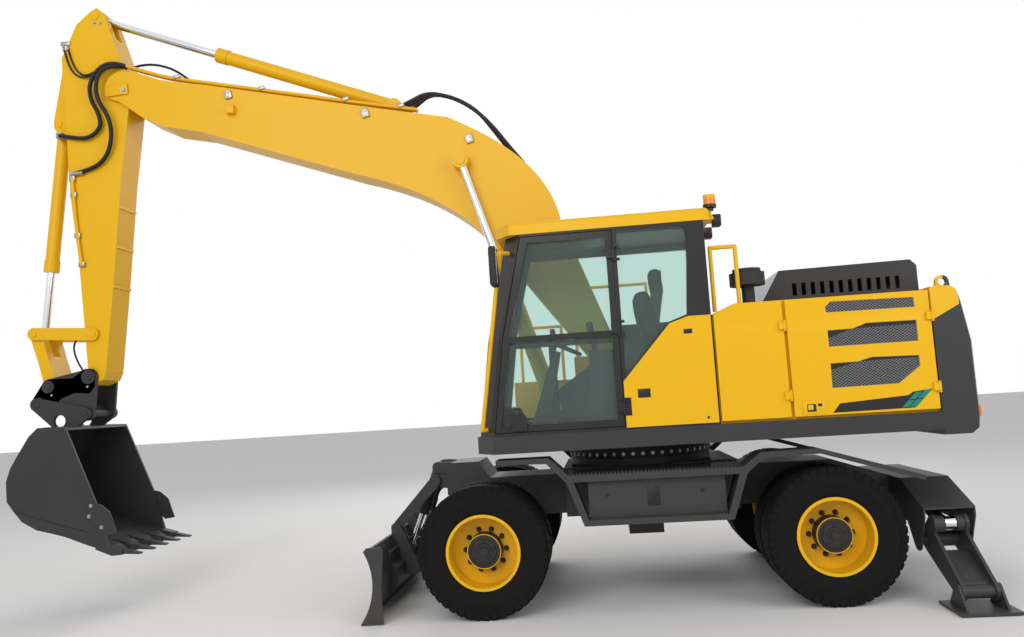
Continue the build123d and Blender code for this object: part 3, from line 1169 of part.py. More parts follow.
def inset_path(points, wall):
    """A row of points moved to the right of its direction by a wall."""
    moved = []
    for index, point in enumerate(points):
        before = points[max(index - 1, 0)]
        after = points[min(index + 1, len(points) - 1)]
        length = hypot(after[0] - before[0], after[1] - before[1])
        across = ((after[1] - before[1]) / length, -(after[0] - before[0]) / length)
        moved.append((point[0] + across[0] * wall, point[1] + across[1] * wall))
    return moved


with BuildPart() as bucket:
    side_plate(BUCKET_BACK + [(5049, 1030)], -BUCKET_HALF, BUCKET_HALF)
    inner = inset_path(BUCKET_BACK, BUCKET_WALL)
    inner = [(inner[0][0] - 200, inner[0][1])] + inner + [(inner[-1][0] - 200, inner[-1][1] - 60), (4700, 1100)]
    side_plate(inner, -BUCKET_HALF + BUCKET_WALL, BUCKET_HALF - BUCKET_WALL, Mode.SUBTRACT)
    for sign in (1, -1):
        ends = [HITCH_FRONT_PIN, HITCH_REAR_PIN, (5420, 1745), (5640, 1735)]
        side_link(ends, (62, 60, 12, 12), *band(HITCH_OUTER + 6, HITCH_OUTER + 38, sign))
    side_disc((5590, 1800), 60, -BUCKET_HALF, BUCKET_HALF, Mode.SUBTRACT)
    for pin in (HITCH_FRONT_PIN, HITCH_REAR_PIN):
        side_disc(pin, HITCH_PIN_RADIUS, -HITCH_OUTER - 42, HITCH_OUTER + 42)
    lip = [(5190, 663), (4912, 563), (4880, 552), (4888, 590), (4940, 618), (5150, 690)]
    side_plate(lip, -BUCKET_HALF, BUCKET_HALF)
    for step in range(TOOTH_COUNT):
        y = -480 + step * 240
        side_plate([(5030, 655), (4900, 620), (4800, 592), (4800, 540), (4900, 535), (5060, 600)], y - 50, y + 50)
        side_plate([(4805, 586), (4641, 548), (4641, 536), (4805, 546)], y - 32, y + 32)
save(bucket, "bucket")
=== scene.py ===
import json
import math

import bmesh
import bpy
from mathutils import Matrix, Vector


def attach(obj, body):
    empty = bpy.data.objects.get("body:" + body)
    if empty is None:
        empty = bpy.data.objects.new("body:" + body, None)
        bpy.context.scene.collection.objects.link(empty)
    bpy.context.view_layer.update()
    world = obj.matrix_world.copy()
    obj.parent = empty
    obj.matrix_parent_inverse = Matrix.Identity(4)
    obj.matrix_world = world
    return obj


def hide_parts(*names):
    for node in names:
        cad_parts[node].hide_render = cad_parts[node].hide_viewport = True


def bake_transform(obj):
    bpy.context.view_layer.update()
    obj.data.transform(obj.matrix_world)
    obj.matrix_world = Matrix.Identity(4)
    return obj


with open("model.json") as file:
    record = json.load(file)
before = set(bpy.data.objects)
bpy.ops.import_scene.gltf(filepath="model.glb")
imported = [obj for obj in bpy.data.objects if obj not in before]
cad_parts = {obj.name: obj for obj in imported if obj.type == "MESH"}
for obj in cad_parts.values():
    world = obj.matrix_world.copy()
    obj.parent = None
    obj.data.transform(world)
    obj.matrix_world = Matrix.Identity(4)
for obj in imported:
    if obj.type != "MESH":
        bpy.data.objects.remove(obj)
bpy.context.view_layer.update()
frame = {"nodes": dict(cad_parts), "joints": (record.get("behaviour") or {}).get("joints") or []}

# ---------------------------------------------------------------- places
# A point is (ahead of the swing axis, left of the middle, above the floor), in metres.
SWING_AHEAD = next(j["pos_m"][0] for j in frame["joints"] if j["name"] == "swing")
FRONT_AXLE, REAR_AXLE, AXLE_HEIGHT = 1.350, -1.400, 0.530
OUTER_TYRE, TWIN_SPACING = 1.120, 0.320
SIDE = 1.250  # the house's side face
BOOM_HALF, ARM_HALF = 0.200, 0.155


def at(ahead, left, height):
    """A place on the machine as a point of the scene."""
    return Vector((SWING_AHEAD + ahead, left, height))


# ---------------------------------------------------------------- finishes
YELLOW = (0.82, 0.455, 0.004)
DARK_GREY = (0.036, 0.036, 0.037)
FRAME_GREY = (0.042, 0.042, 0.043)
NEAR_BLACK = (0.016, 0.016, 0.017)
DUST = (0.30, 0.26, 0.20)


def group_socket(group, name, kind, way, value=None):
    """Adds one named input or output to a shader node group."""
    socket = group.interface.new_socket(name=name, in_out=way, socket_type=kind)
    if value is not None:
        socket.default_value = value


def feed(tree, socket, value):
    """Wires another socket to this one, or sets it to a plain value."""
    if isinstance(value, bpy.types.NodeSocket):
        tree.links.new(value, socket)
    else:
        socket.default_value = value


def add_math(tree, operation, first, second=None, clamp=False):
    """A Math node's result."""
    node = tree.nodes.new("ShaderNodeMath")
    node.operation = operation
    node.use_clamp = clamp
    feed(tree, node.inputs[0], first)
    if second is not None:
        feed(tree, node.inputs[1], second)
    return node.outputs["Value"]


def add_range(tree, value, source, target):
    """A Map Range node's result."""
    node = tree.nodes.new("ShaderNodeMapRange")
    feed(tree, node.inputs["Value"], value)
    for name, limit in zip(("From Min", "From Max", "To Min", "To Max"), (*source, *target)):
        feed(tree, node.inputs[name], limit)
    return node.outputs["Result"]


def add_noise(tree, place, scale, detail=2.0):
    """A Noise Texture node's result."""
    node = tree.nodes.new("ShaderNodeTexNoise")
    feed(tree, node.inputs["Vector"], place)
    feed(tree, node.inputs["Scale"], scale)
    feed(tree, node.inputs["Detail"], detail)
    return node.outputs["Fac"]


def add_mix(tree, factor, first, second):
    """A mix of two colours."""
    node = tree.nodes.new("ShaderNodeMix")
    node.data_type = "RGBA"
    feed(tree, node.inputs["Factor"], factor)
    feed(tree, node.inputs["A"], first)
    feed(tree, node.inputs["B"], second)
    return node.outputs["Result"]


def add_place(tree):
    """Where a point of the surface is, and the same as three numbers."""
    place = tree.nodes.new("ShaderNodeTexCoord").outputs["Object"]
    split = tree.nodes.new("ShaderNodeSeparateXYZ")
    feed(tree, split.inputs["Vector"], place)
    return place, [split.outputs[axis] for axis in "XYZ"]


PATCH_SCALE, PATCH_DETAIL, PATCH_FROM, PATCH_TO = 2.3, 6.0, (0.3, 0.7), (0.35, 1.5)
RUN_SCALE, RUN_DETAIL = (14.0, 14.0, 1.6), 4.0
FINE_DETAIL, WAVE_SCALE = 3.0, 5.0


def make_weathering():
    """Road film and dust: more of it low down, broken up by soft patches."""
    group = bpy.data.node_groups.new("weathering", "ShaderNodeTree")
    group_socket(group, "Paint", "NodeSocketColor", "INPUT", (1, 1, 1, 1))
    for name, value in (("Film", 0.1), ("Low Dust", 0.2), ("Dust Top", 1.2), ("Gloss", 0.35)):
        group_socket(group, name, "NodeSocketFloat", "INPUT", value)
    group_socket(group, "Color", "NodeSocketColor", "OUTPUT")
    group_socket(group, "Roughness", "NodeSocketFloat", "OUTPUT")
    take, give = group.nodes.new("NodeGroupInput").outputs, group.nodes.new("NodeGroupOutput")
    place, (_, _, up) = add_place(group)
    streaks = group.nodes.new("ShaderNodeMapping")
    streaks.inputs["Scale"].default_value = RUN_SCALE
    feed(group, streaks.inputs["Vector"], place)
    runs = add_noise(group, streaks.outputs["Vector"], 1.0, RUN_DETAIL)
    height = add_range(group, up, (0.0, take["Dust Top"]), (1.0, 0.0))
    low = add_math(group, "MULTIPLY", height, take["Low Dust"])
    film = add_math(group, "MULTIPLY", runs, take["Film"])
    both = add_math(group, "ADD", low, film)
    patches = add_range(group, add_noise(group, place, PATCH_SCALE, PATCH_DETAIL), PATCH_FROM, PATCH_TO)
    broken = add_math(group, "MULTIPLY", both, patches, clamp=True)
    feed(group, give.inputs["Color"], add_mix(group, broken, take["Paint"], (*DUST, 1)))
    feed(group, give.inputs["Roughness"], add_math(group, "ADD", take["Gloss"], broken, clamp=True))
    return group


def make_grain():
    """Fine surface grain, as a height for a Bump node."""
    group = bpy.data.node_groups.new("surface grain", "ShaderNodeTree")
    group_socket(group, "Scale", "NodeSocketFloat", "INPUT", 60.0)
    group_socket(group, "Waves", "NodeSocketFloat", "INPUT", 0.3)
    group_socket(group, "Height", "NodeSocketFloat", "OUTPUT")
    take, give = group.nodes.new("NodeGroupInput").outputs, group.nodes.new("NodeGroupOutput")
    place = group.nodes.new("ShaderNodeTexCoord").outputs["Object"]
    fine = add_noise(group, place, take["Scale"], FINE_DETAIL)
    waves = add_math(group, "MULTIPLY", add_noise(group, place, WAVE_SCALE), take["Waves"])
    feed(group, give.inputs["Height"], add_math(group, "ADD", fine, waves))
    return group


WEATHERING = make_weathering()
GRAIN = make_grain()
COAT_ROUGHNESS, BUMP_DEPTH = 0.12, 0.01


def finish(
    name,
    paint,
    gloss=0.35,
    film=0.05,
    low_dust=0.1,
    dust_top=1.2,
    metal=0.0,
    coat=0.0,
    grain=60.0,
    bump=0.05,
    waves=0.3,
    shine=0.22,
):
    """A painted, cast or rubber finish with weathering and grain."""
    material = bpy.data.materials.new(name)
    material.use_nodes = True
    nodes, wire = material.node_tree.nodes, material.node_tree.links.new
    skin = nodes["Principled BSDF"]
    skin.inputs["Metallic"].default_value = metal
    skin.inputs["Specular IOR Level"].default_value = shine
    skin.inputs["Coat Weight"].default_value = coat
    skin.inputs["Coat Roughness"].default_value = COAT_ROUGHNESS
    weather = nodes.new("ShaderNodeGroup")
    weather.node_tree = WEATHERING
    weather.inputs["Paint"].default_value = (*paint, 1)
    weather.inputs["Film"].default_value = film
    weather.inputs["Low Dust"].default_value = low_dust
    weather.inputs["Dust Top"].default_value = dust_top
    weather.inputs["Gloss"].default_value = gloss
    wire(weather.outputs["Color"], skin.inputs["Base Color"])
    wire(weather.outputs["Roughness"], skin.inputs["Roughness"])
    texture = nodes.new("ShaderNodeGroup")
    texture.node_tree = GRAIN
    texture.inputs["Scale"].default_value = grain
    texture.inputs["Waves"].default_value = waves
    relief = nodes.new("ShaderNodeBump")
    relief.inputs["Strength"].default_value = bump
    relief.inputs["Distance"].default_value = BUMP_DEPTH
    wire(texture.outputs["Height"], relief.inputs["Height"])
    wire(relief.outputs["Normal"], skin.inputs["Normal"])
    return material


def repaint(material, mask, under, over):
    """Gives a finish two paints, parted by a mask."""
    tree = material.node_tree
    weather = next(n for n in tree.nodes if n.type == "GROUP" and n.node_tree == WEATHERING)
    feed(tree, weather.inputs["Paint"], add_mix(tree, mask, (*under, 1), (*over, 1)))
    return material


PANE_ROUGHNESS, PANE_BENDING = 0.03, 1.05


def pane(name, tint, weight):
    """A clear or tinted lens or window."""
    material = bpy.data.materials.new(name)
    material.use_nodes = True
    skin = material.node_tree.nodes["Principled BSDF"]
    skin.inputs["Base Color"].default_value = (*tint, 1)
    skin.inputs["Roughness"].default_value = PANE_ROUGHNESS
    skin.inputs["Transmission Weight"].default_value = weight
    skin.inputs["IOR"].default_value = PANE_BENDING
    return material


PAINT_YELLOW = finish(
    "yellow paint", YELLOW, gloss=0.36, film=0.006, low_dust=0.02, coat=0.04, bump=0.02, grain=90.0
)
PAINT_FRAME = finish("grey frame paint", FRAME_GREY, gloss=0.45, film=0.02, low_dust=0.03, coat=0.05, bump=0.04)
PAINT_DARK = finish("dark grey paint", DARK_GREY, gloss=0.42, film=0.02, low_dust=0.02, coat=0.05, bump=0.04)
PAINT_BLACK = finish("black satin paint", NEAR_BLACK, gloss=0.36, film=0.03, low_dust=0.05, coat=0.1, bump=0.03)
CAST_IRON = finish(
    "dark casting", (0.020, 0.020, 0.021), gloss=0.5, film=0.02, low_dust=0.03, bump=0.25, grain=120.0
)
TYRE_RUBBER = finish(
    "tyre rubber",
    (0.008, 0.008, 0.008),
    gloss=0.80,
    film=0.0,
    low_dust=0.005,
    shine=0.12,
    dust_top=1.06,
    bump=0.25,
    grain=90.0,
)
HOSE_RUBBER = finish("hose rubber", (0.012, 0.012, 0.012), gloss=0.45, film=0.03, low_dust=0.0, bump=0.1, grain=300.0)
PLASTIC = finish("textured plastic", (0.03, 0.03, 0.032), gloss=0.55, film=0.02, low_dust=0.0, bump=0.2, grain=400.0)
SEAT_CLOTH = finish("seat cloth", (0.022, 0.022, 0.024), gloss=0.85, film=0.02, low_dust=0.0, bump=0.4, grain=500.0)
BARE_STEEL = finish(
    "worn steel", (0.36, 0.35, 0.33), gloss=0.36, film=0.12, low_dust=0.1, metal=1.0, bump=0.15, grain=40.0
)
CHROME = finish("chromed rod", (0.72, 0.73, 0.75), gloss=0.10, film=0.02, low_dust=0.0, metal=1.0, bump=0.01)
GLASS = pane("tinted glass", (0.72, 0.86, 0.82), 0.95)
LAMP_LENS = pane("lamp lens", (0.95, 0.96, 1.0), 0.6)
AMBER = finish("amber lens", (0.85, 0.22, 0.01), gloss=0.12, film=0.0, low_dust=0.0, coat=0.6, bump=0.0)
RED_LENS = finish("red lens", (0.55, 0.02, 0.012), gloss=0.15, film=0.0, low_dust=0.0, coat=0.6, bump=0.0)
MIRROR_GLASS = finish("mirror glass", (0.75, 0.78, 0.8), gloss=0.03, film=0.0, low_dust=0.0, metal=1.0, bump=0.0)
STRIPE_TEAL = finish("teal stripe", (0.005, 0.22, 0.17), gloss=0.3, film=0.03, low_dust=0.0, coat=0.3, bump=0.0)
MESH_GREY = finish("grille mesh grey", (0.20, 0.205, 0.21), gloss=0.5, film=0.05, low_dust=0.05, bump=0.05)

# The yellow at the counterweight's front upper corners ends at a line that climbs
# rearwards, at a cross section and at a distance from the middle.
CORNER, CORNER_SLOPE, CORNER_REAR, CORNER_INNER = at(-2.300, 0, 2.162), 0.526, -2.478, 0.86
HINGE_PAINT_FROM = -0.6


def make_tail_paint():
    """Grey with the body's yellow at the front upper corners."""
    material = finish("counterweight paint", DARK_GREY, gloss=0.36, film=0.02, low_dust=0.03, coat=0.15, bump=0.04)
    tree = material.node_tree
    _, (ahead, left, up) = add_place(tree)
    line = add_math(tree, "ADD", add_math(tree, "MULTIPLY", ahead, CORNER_SLOPE), up)
    above = add_math(tree, "GREATER_THAN", line, CORNER.z + CORNER_SLOPE * CORNER.x)
    before = add_math(tree, "GREATER_THAN", ahead, at(CORNER_REAR, 0, 0).x)
    beside = add_math(tree, "GREATER_THAN", add_math(tree, "ABSOLUTE", left), CORNER_INNER)
    mask = add_math(tree, "MULTIPLY", add_math(tree, "MULTIPLY", above, before), beside)
    return repaint(material, mask, DARK_GREY, YELLOW)


def make_hinge_paint():
    """Black at the cab and yellow on the doors behind it."""
    material = finish("hinge paint", NEAR_BLACK, gloss=0.36, film=0.006, low_dust=0.02, coat=0.04, bump=0.02)
    _, (ahead, _, _) = add_place(material.node_tree)
    mask = add_math(material.node_tree, "GREATER_THAN", ahead, at(HINGE_PAINT_FROM, 0, 0).x)
    return repaint(material, mask, YELLOW, NEAR_BLACK)


NODE_FINISH = {
    "chassis_frame": PAINT_FRAME,
    "swing_ring": CAST_IRON,
    "front_axle": CAST_IRON,
    "rear_axle": CAST_IRON,
    "side_steps": PAINT_FRAME,
    "knuckle_left": CAST_IRON,
    "knuckle_right": CAST_IRON,
    "blade": PAINT_FRAME,
    "blade_arms": PAINT_FRAME,
    "blade_links": PAINT_FRAME,
    "blade_barrels": PAINT_FRAME,
    "blade_rods": CHROME,
    "deck_frame": PAINT_DARK,
    "cab_shell": PAINT_BLACK,
    "cab_roof": PAINT_YELLOW,
    "cab_side_panel": PAINT_YELLOW,
    "cab_glass": GLASS,
    "fixed_hinges": make_hinge_paint(),
    "cab_interior": PLASTIC,
    "engine_block": CAST_IRON,
    "body_panels": PAINT_YELLOW,
    "counterweight": make_tail_paint(),
    "tanks": PAINT_YELLOW,
    "rails": PAINT_YELLOW,
    "mirrors": PLASTIC,
    "air_intake": PLASTIC,
    "cab_door": PAINT_BLACK,
    "door_glass": GLASS,
    "engine_hood": PAINT_DARK,
    "left_front_door": PAINT_YELLOW,
    "left_rear_door": PAINT_YELLOW,
    "right_door": PAINT_YELLOW,
    "boom": PAINT_YELLOW,
    "boom_barrels": PAINT_YELLOW,
    "boom_rods": CHROME,
    "arm": PAINT_YELLOW,
    "stick_barrel": PAINT_YELLOW,
    "stick_rod": CHROME,
    "bucket_barrel": PAINT_YELLOW,
    "bucket_rod": CHROME,
    "side_links": PAINT_YELLOW,
    "bucket_link": PAINT_YELLOW,
    "coupler": PAINT_DARK,
    "bucket": PAINT_DARK,
}
for name, node in frame["nodes"].items():
    if name.endswith("_tyres"):
        cover = TYRE_RUBBER
    elif name.endswith("_rims"):
        cover = PAINT_YELLOW
    elif name.startswith("outrigger_rod"):
        cover = CHROME
    elif name.startswith("outrigger"):
        cover = PAINT_FRAME
    else:
        cover = NODE_FINISH[name]
    node.data.materials.clear()
    node.data.materials.append(cover)


# ---------------------------------------------------------------- shaping
def piece(name, bm, cover, body, smooth=30.0):
    """Turns a bmesh into a finished piece that rides on a body."""
    bmesh.ops.recalc_face_normals(bm, faces=bm.faces)
    data = bpy.data.meshes.new(name)
    bm.to_mesh(data)
    bm.free()
    data.materials.append(cover)
    item = bpy.data.objects.new(name, data)
    bpy.context.collection.objects.link(item)
    if smooth:
        for face in data.polygons:
            face.use_smooth = True
        data.set_sharp_from_angle(angle=math.radians(smooth))
    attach(item, body)
    return item


def aim(direction):
    """The turn that takes +Z to a direction."""
    return Vector(direction).to_track_quat("Z", "Y").to_matrix().to_4x4()


def add_bar(bm, start, end, radius, sides=16, tip=None):
    """A round bar or cone between two points."""
    start, end = Vector(start), Vector(end)
    middle = Matrix.Translation((start + end) / 2) @ aim(end - start)
    bmesh.ops.create_cone(
        bm,
        cap_ends=True,
        segments=sides,
        radius1=radius,
        radius2=radius if tip is None else tip,
        depth=(end - start).length,
        matrix=middle,
    )


def soften(bm, edges, width, segments):
    """Bevels edges and gives the bevel's vertices."""
    return bmesh.ops.bevel(
        bm,
        geom=edges,
        offset=width,
        offset_type="OFFSET",
        affect="EDGES",
        segments=segments,
        profile=0.5,
        material=-1,
    )["verts"]


def add_block(bm, centre, size, edge=0.003, turn=None):
    """A block with softened edges."""
    made = bmesh.ops.create_cube(bm, size=1.0)["verts"]
    bmesh.ops.scale(bm, vec=size, verts=made)
    if edge:
        edges = list({e for v in made for e in v.link_edges})
        made = list(set(soften(bm, edges, edge, segments=2)))
    if turn is not None:
        bmesh.ops.rotate(bm, cent=(0, 0, 0), matrix=turn, verts=made)
    bmesh.ops.translate(bm, vec=centre, verts=made)


def add_bolt(bm, centre, normal, radius, height):
    """A hexagon head on its washer."""
    centre, normal = Vector(centre), Vector(normal).normalized()
    add_bar(bm, centre - normal * height * 0.2, centre + normal * height * 0.25, radius * 1.35, sides=20)
    add_bar(bm, centre, centre + normal * height, radius, sides=6)


def add_plate(bm, points, thickness, edge=0.002):
    """A flat plate: its outline in order, pushed along the outline's normal."""
    corners = [bm.verts.new(p) for p in points]
    face = bm.faces.new(corners)
    face.normal_update()
    push = face.normal * thickness
    grown = bmesh.ops.extrude_face_region(bm, geom=[face])["geom"]
    moved = [g for g in grown if isinstance(g, bmesh.types.BMVert)]
    bmesh.ops.translate(bm, vec=push, verts=moved)
    if edge:
        edges = list({e for v in corners + moved for e in v.link_edges})
        soften(bm, edges, edge, segments=1)


# ---------------------------------------------------------------- camera, light and floor
CAMERA_AHEAD, CAMERA_LEFT, CAMERA_HEIGHT = 0.342, 8.128, 1.726
CAMERA_YAW, CAMERA_PITCH, CAMERA_ROLL = 0.0952, 0.0958, -0.0626
FOCAL_PIXELS, FRAME_WIDTH, SENSOR = 852.5, 1024.0, 36.0
FLOOR_REACH, FLOOR_COLOUR, SKY_STRENGTH = 60.0, (0.86, 0.86, 0.86, 1), 0.50


def set_camera():
    """The photograph's own view: a camera solved from its lines."""
    right, up, ahead = Vector((-1, 0, 0)), Vector((0, 0, 1)), Vector((0, -1, 0))
    turn = Matrix.Rotation(CAMERA_YAW, 3, "Z")
    right, up, ahead = turn @ right, turn @ up, turn @ ahead
    sin, cos = math.sin(CAMERA_PITCH), math.cos(CAMERA_PITCH)
    ahead, up = ahead * cos + up * sin, up * cos - ahead * sin
    sin, cos = math.sin(CAMERA_ROLL), math.cos(CAMERA_ROLL)
    right, up = right * cos + up * sin, up * cos - right * sin
    lens = bpy.data.cameras.new("camera")
    lens.sensor_width = SENSOR
    lens.lens = FOCAL_PIXELS / FRAME_WIDTH * SENSOR
    lens.clip_end = 200.0
    camera = bpy.data.objects.new("camera", lens)
    bpy.context.collection.objects.link(camera)
    pose = Matrix((right, up, -ahead)).transposed().to_4x4()
    pose.translation = at(CAMERA_AHEAD, CAMERA_LEFT, CAMERA_HEIGHT)
    camera.matrix_world = pose
    bpy.context.scene.camera = camera


def add_lamp(name, place, target, size, power):
    """A soft box that faces a target."""
    light = bpy.data.lights.new(name, "AREA")
    light.shape = "RECTANGLE"
    light.size, light.size_y = size
    light.energy = power
    lamp = bpy.data.objects.new(name, light)
    bpy.context.collection.objects.link(lamp)
    lamp.matrix_world = Matrix.Translation(place) @ aim(place - target)


def set_stage():
    """Pale floor, soft boxes, and a world that is seen and mirrored white but lights softly."""
    bm = bmesh.new()
    bmesh.ops.create_grid(bm, x_segments=1, y_segments=1, size=FLOOR_REACH)
    data = bpy.data.meshes.new("floor")
    bm.to_mesh(data)
    bm.free()
    floor = bpy.data.objects.new("floor", data)
    bpy.context.collection.objects.link(floor)
    material = bpy.data.materials.new("pale floor")
    material.use_nodes = True
    skin = material.node_tree.nodes["Principled BSDF"]
    skin.inputs["Base Color"].default_value = FLOOR_COLOUR
    skin.inputs["Roughness"].default_value = 0.9
    data.materials.append(material)
    world = bpy.data.worlds.new("studio")
    bpy.context.scene.world = world
    world.use_nodes = True
    nodes, wire = world.node_tree.nodes, world.node_tree.links.new
    soft = nodes["Background"]
    soft.inputs["Color"].default_value = (1, 1, 1, 1)
    soft.inputs["Strength"].default_value = SKY_STRENGTH
    white = nodes.new("ShaderNodeBackground")
    white.inputs["Color"].default_value = (1, 1, 1, 1)
    white.inputs["Strength"].default_value = 1.0
    rays = nodes.new("ShaderNodeLightPath").outputs
    direct = add_math(world.node_tree, "MAXIMUM", rays["Is Camera Ray"], rays["Is Transmission Ray"])
    seen = add_math(world.node_tree, "MAXIMUM", direct, rays["Is Glossy Ray"])
    mix = nodes.new("ShaderNodeMixShader")
    wire(seen, mix.inputs["Fac"])
    wire(soft.outputs["Background"], mix.inputs[1])
    wire(white.outputs["Background"], mix.inputs[2])
    wire(mix.outputs["Shader"], nodes["World Output"].inputs["Surface"])
    add_lamp("key", at(5.0, 16.0, 9.0), at(0.5, 0.0, 1.8), (11.0, 8.0), 1150.0)
    add_lamp("fill", at(-7.0, 7.0, 5.0), at(0.0, 0.0, 1.5), (6.0, 4.0), 200.0)
    add_lamp("back", at(2.0, -9.0, 8.0), at(0.5, 0.0, 2.0), (7.0, 5.0), 300.0)
    bpy.context.scene.view_settings.view_transform = "Standard"


set_camera()
set_stage()

# ---------------------------------------------------------------- wheels
WHEELS = (
    ("wheels_front_left", FRONT_AXLE, 1),
    ("wheels_front_right", FRONT_AXLE, -1),
    ("wheels_rear_left", REAR_AXLE, 1),
    ("wheels_rear_right", REAR_AXLE, -1),
)
LUGS, LUG_TOP = 46, 0.5285
# side of the tyre, share of the lug spacing, size, drop below the tread's top, skew
LUG_ROWS = (
    (0.072, 0.0, (0.050, 0.094, 0.026), 0.0, 0.18),
    (-0.072, 0.5, (0.050, 0.094, 0.026), 0.0, 0.18),
    (0.0, 0.25, (0.040, 0.036, 0.020), 0.0, -0.5),
    (0.122, 0.0, (0.046, 0.020, 0.046), 0.013, 0.0),
    (-0.122, 0.5, (0.046, 0.020, 0.046), 0.013, 0.0),
)
NUT_CIRCLE, NUTS, NUT_FACE = 0.1675, 10, 1.036
NUT_PARTS = ((0.008, 0.022, 24), (0.030, 0.0165, 6), (0.052, 0.0115, 12))
HUB_PROFILE = ((0.1425, 1.040), (0.1425, 1.150), (0.138, 1.166), (0.128, 1.176), (0.104, 1.178), (0.098, 1.186))
HUB_PROFILE += ((0.070, 1.188), (0.064, 1.182), (0.040, 1.182), (0.036, 1.190), (0.0, 1.191))
HUB_BOLTS, HUB_BOLT_CIRCLE, HUB_BOLT_FACE, HUB_BOLT_TURN = 5, 0.084, 1.187, 0.3
HUB_STUDS, HUB_STUD_CIRCLE, HUB_STUD_FACE = 16, 0.117, 1.176


def add_lug(bm, hub, left, angle, size, top, skew=0.0):
    """A block of tread standing on a tyre."""
    along, across, deep = size
    lug = bmesh.ops.create_cube(bm, size=1.0)["verts"]
    bmesh.ops.scale(bm, vec=(along, across, deep), verts=lug)
    bmesh.ops.rotate(bm, cent=(0, 0, 0), matrix=Matrix.Rotation(skew, 3, "Z"), verts=lug)
    bmesh.ops.translate(bm, vec=(0, left, top - deep / 2), verts=lug)
    bmesh.ops.rotate(bm, cent=(0, 0, 0), matrix=Matrix.Rotation(angle, 3, "Y"), verts=lug)
    bmesh.ops.translate(bm, vec=hub, verts=lug)


def around(count, start=0.0):
    """Evenly spread angles."""
    return [2 * math.pi * step / count + start for step in range(count)]


def make_tread(body, axle, sign):
    """Lugs on both tyres of a twin wheel."""
    bm = bmesh.new()
    for row in range(2):
        hub = at(axle, sign * (OUTER_TYRE - row * TWIN_SPACING), AXLE_HEIGHT)
        for angle in around(LUGS):
            for left, share, size, drop, skew in LUG_ROWS:
                add_lug(bm, hub, left, angle + share * 2 * math.pi / LUGS, size, LUG_TOP - drop, skew)
    piece("tread_" + body[7:], bm, TYRE_RUBBER, body, smooth=0)


def add_turned(bm, centre, axis, points, steps):
    """A turned shape: points in order, spun round an axis."""
    ring = [bm.verts.new(centre + Vector(point)) for point in points]
    edges = [bm.edges.new(pair) for pair in zip(ring, ring[1:])]
    bmesh.ops.spin(
        bm,
        geom=ring + edges,
        cent=centre,
        axis=axis,
        dvec=(0, 0, 0),
        angle=2 * math.pi,
        steps=steps,
        use_merge=True,
    )
    bmesh.ops.remove_doubles(bm, verts=bm.verts, dist=0.0002)


def make_hub(body, axle, sign):
    """Hub cover with its bolts and studs, and the wheel's nuts."""
    hub = at(axle, 0, AXLE_HEIGHT)

    def spot(circle, turn, face):
        return hub + Vector((circle * math.cos(turn), sign * face, circle * math.sin(turn)))

    bm = bmesh.new()
    add_turned(bm, hub, (0, 1, 0), [(0, sign * out, radius) for radius, out in HUB_PROFILE], steps=64)
    for turn in around(HUB_BOLTS, HUB_BOLT_TURN):
        add_bolt(bm, spot(HUB_BOLT_CIRCLE, turn, HUB_BOLT_FACE), (0, sign, 0), 0.010, 0.008)
    for turn in around(HUB_STUDS):
        foot = spot(HUB_STUD_CIRCLE, turn, HUB_STUD_FACE)
        add_bar(bm, foot, foot + Vector((0, sign * 0.006, 0)), 0.0055, sides=6)
    piece("hub_" + body[7:], bm, CAST_IRON, body)
    bm = bmesh.new()
    for turn in around(NUTS):
        foot = spot(NUT_CIRCLE, turn, NUT_FACE)
        for length, radius, sides in NUT_PARTS:
            add_bar(bm, foot, foot + Vector((0, sign * length, 0)), radius, sides=sides)
    piece("wheel_nuts_" + body[7:], bm, CAST_IRON, body)


for wheel in WHEELS:
    make_tread(*wheel)
    make_hub(*wheel)

# ---------------------------------------------------------------- body doors
GRILLES = (
    ((-1.479, 2.259), (-1.473, 2.303), (-1.519, 2.345), (-2.148, 2.335), (-2.150, 2.256)),
    ((-1.475, 1.989), (-1.474, 2.119), (-1.665, 2.121), (-1.773, 2.158), (-2.150, 2.155), (-2.149, 1.991)),
    (
        (-1.470, 1.667),
        (-1.473, 1.860),
        (-1.681, 1.862),
        (-1.788, 1.890),
        (-2.142, 1.881),
        (-2.144, 1.799),
        (-1.972, 1.672),
    ),
)
MESH_PITCH, MESH_LEAN, MESH_WIRE, MESH_FLAT = 0.017, 0.62, 0.0042, 0.7
POCKET_DEPTH, MESH_INSET, MESH_LAP = 0.020, 0.013, 0.003
MESH_FRAME_INSET, MESH_FRAME_RADIUS = 0.016, 0.005


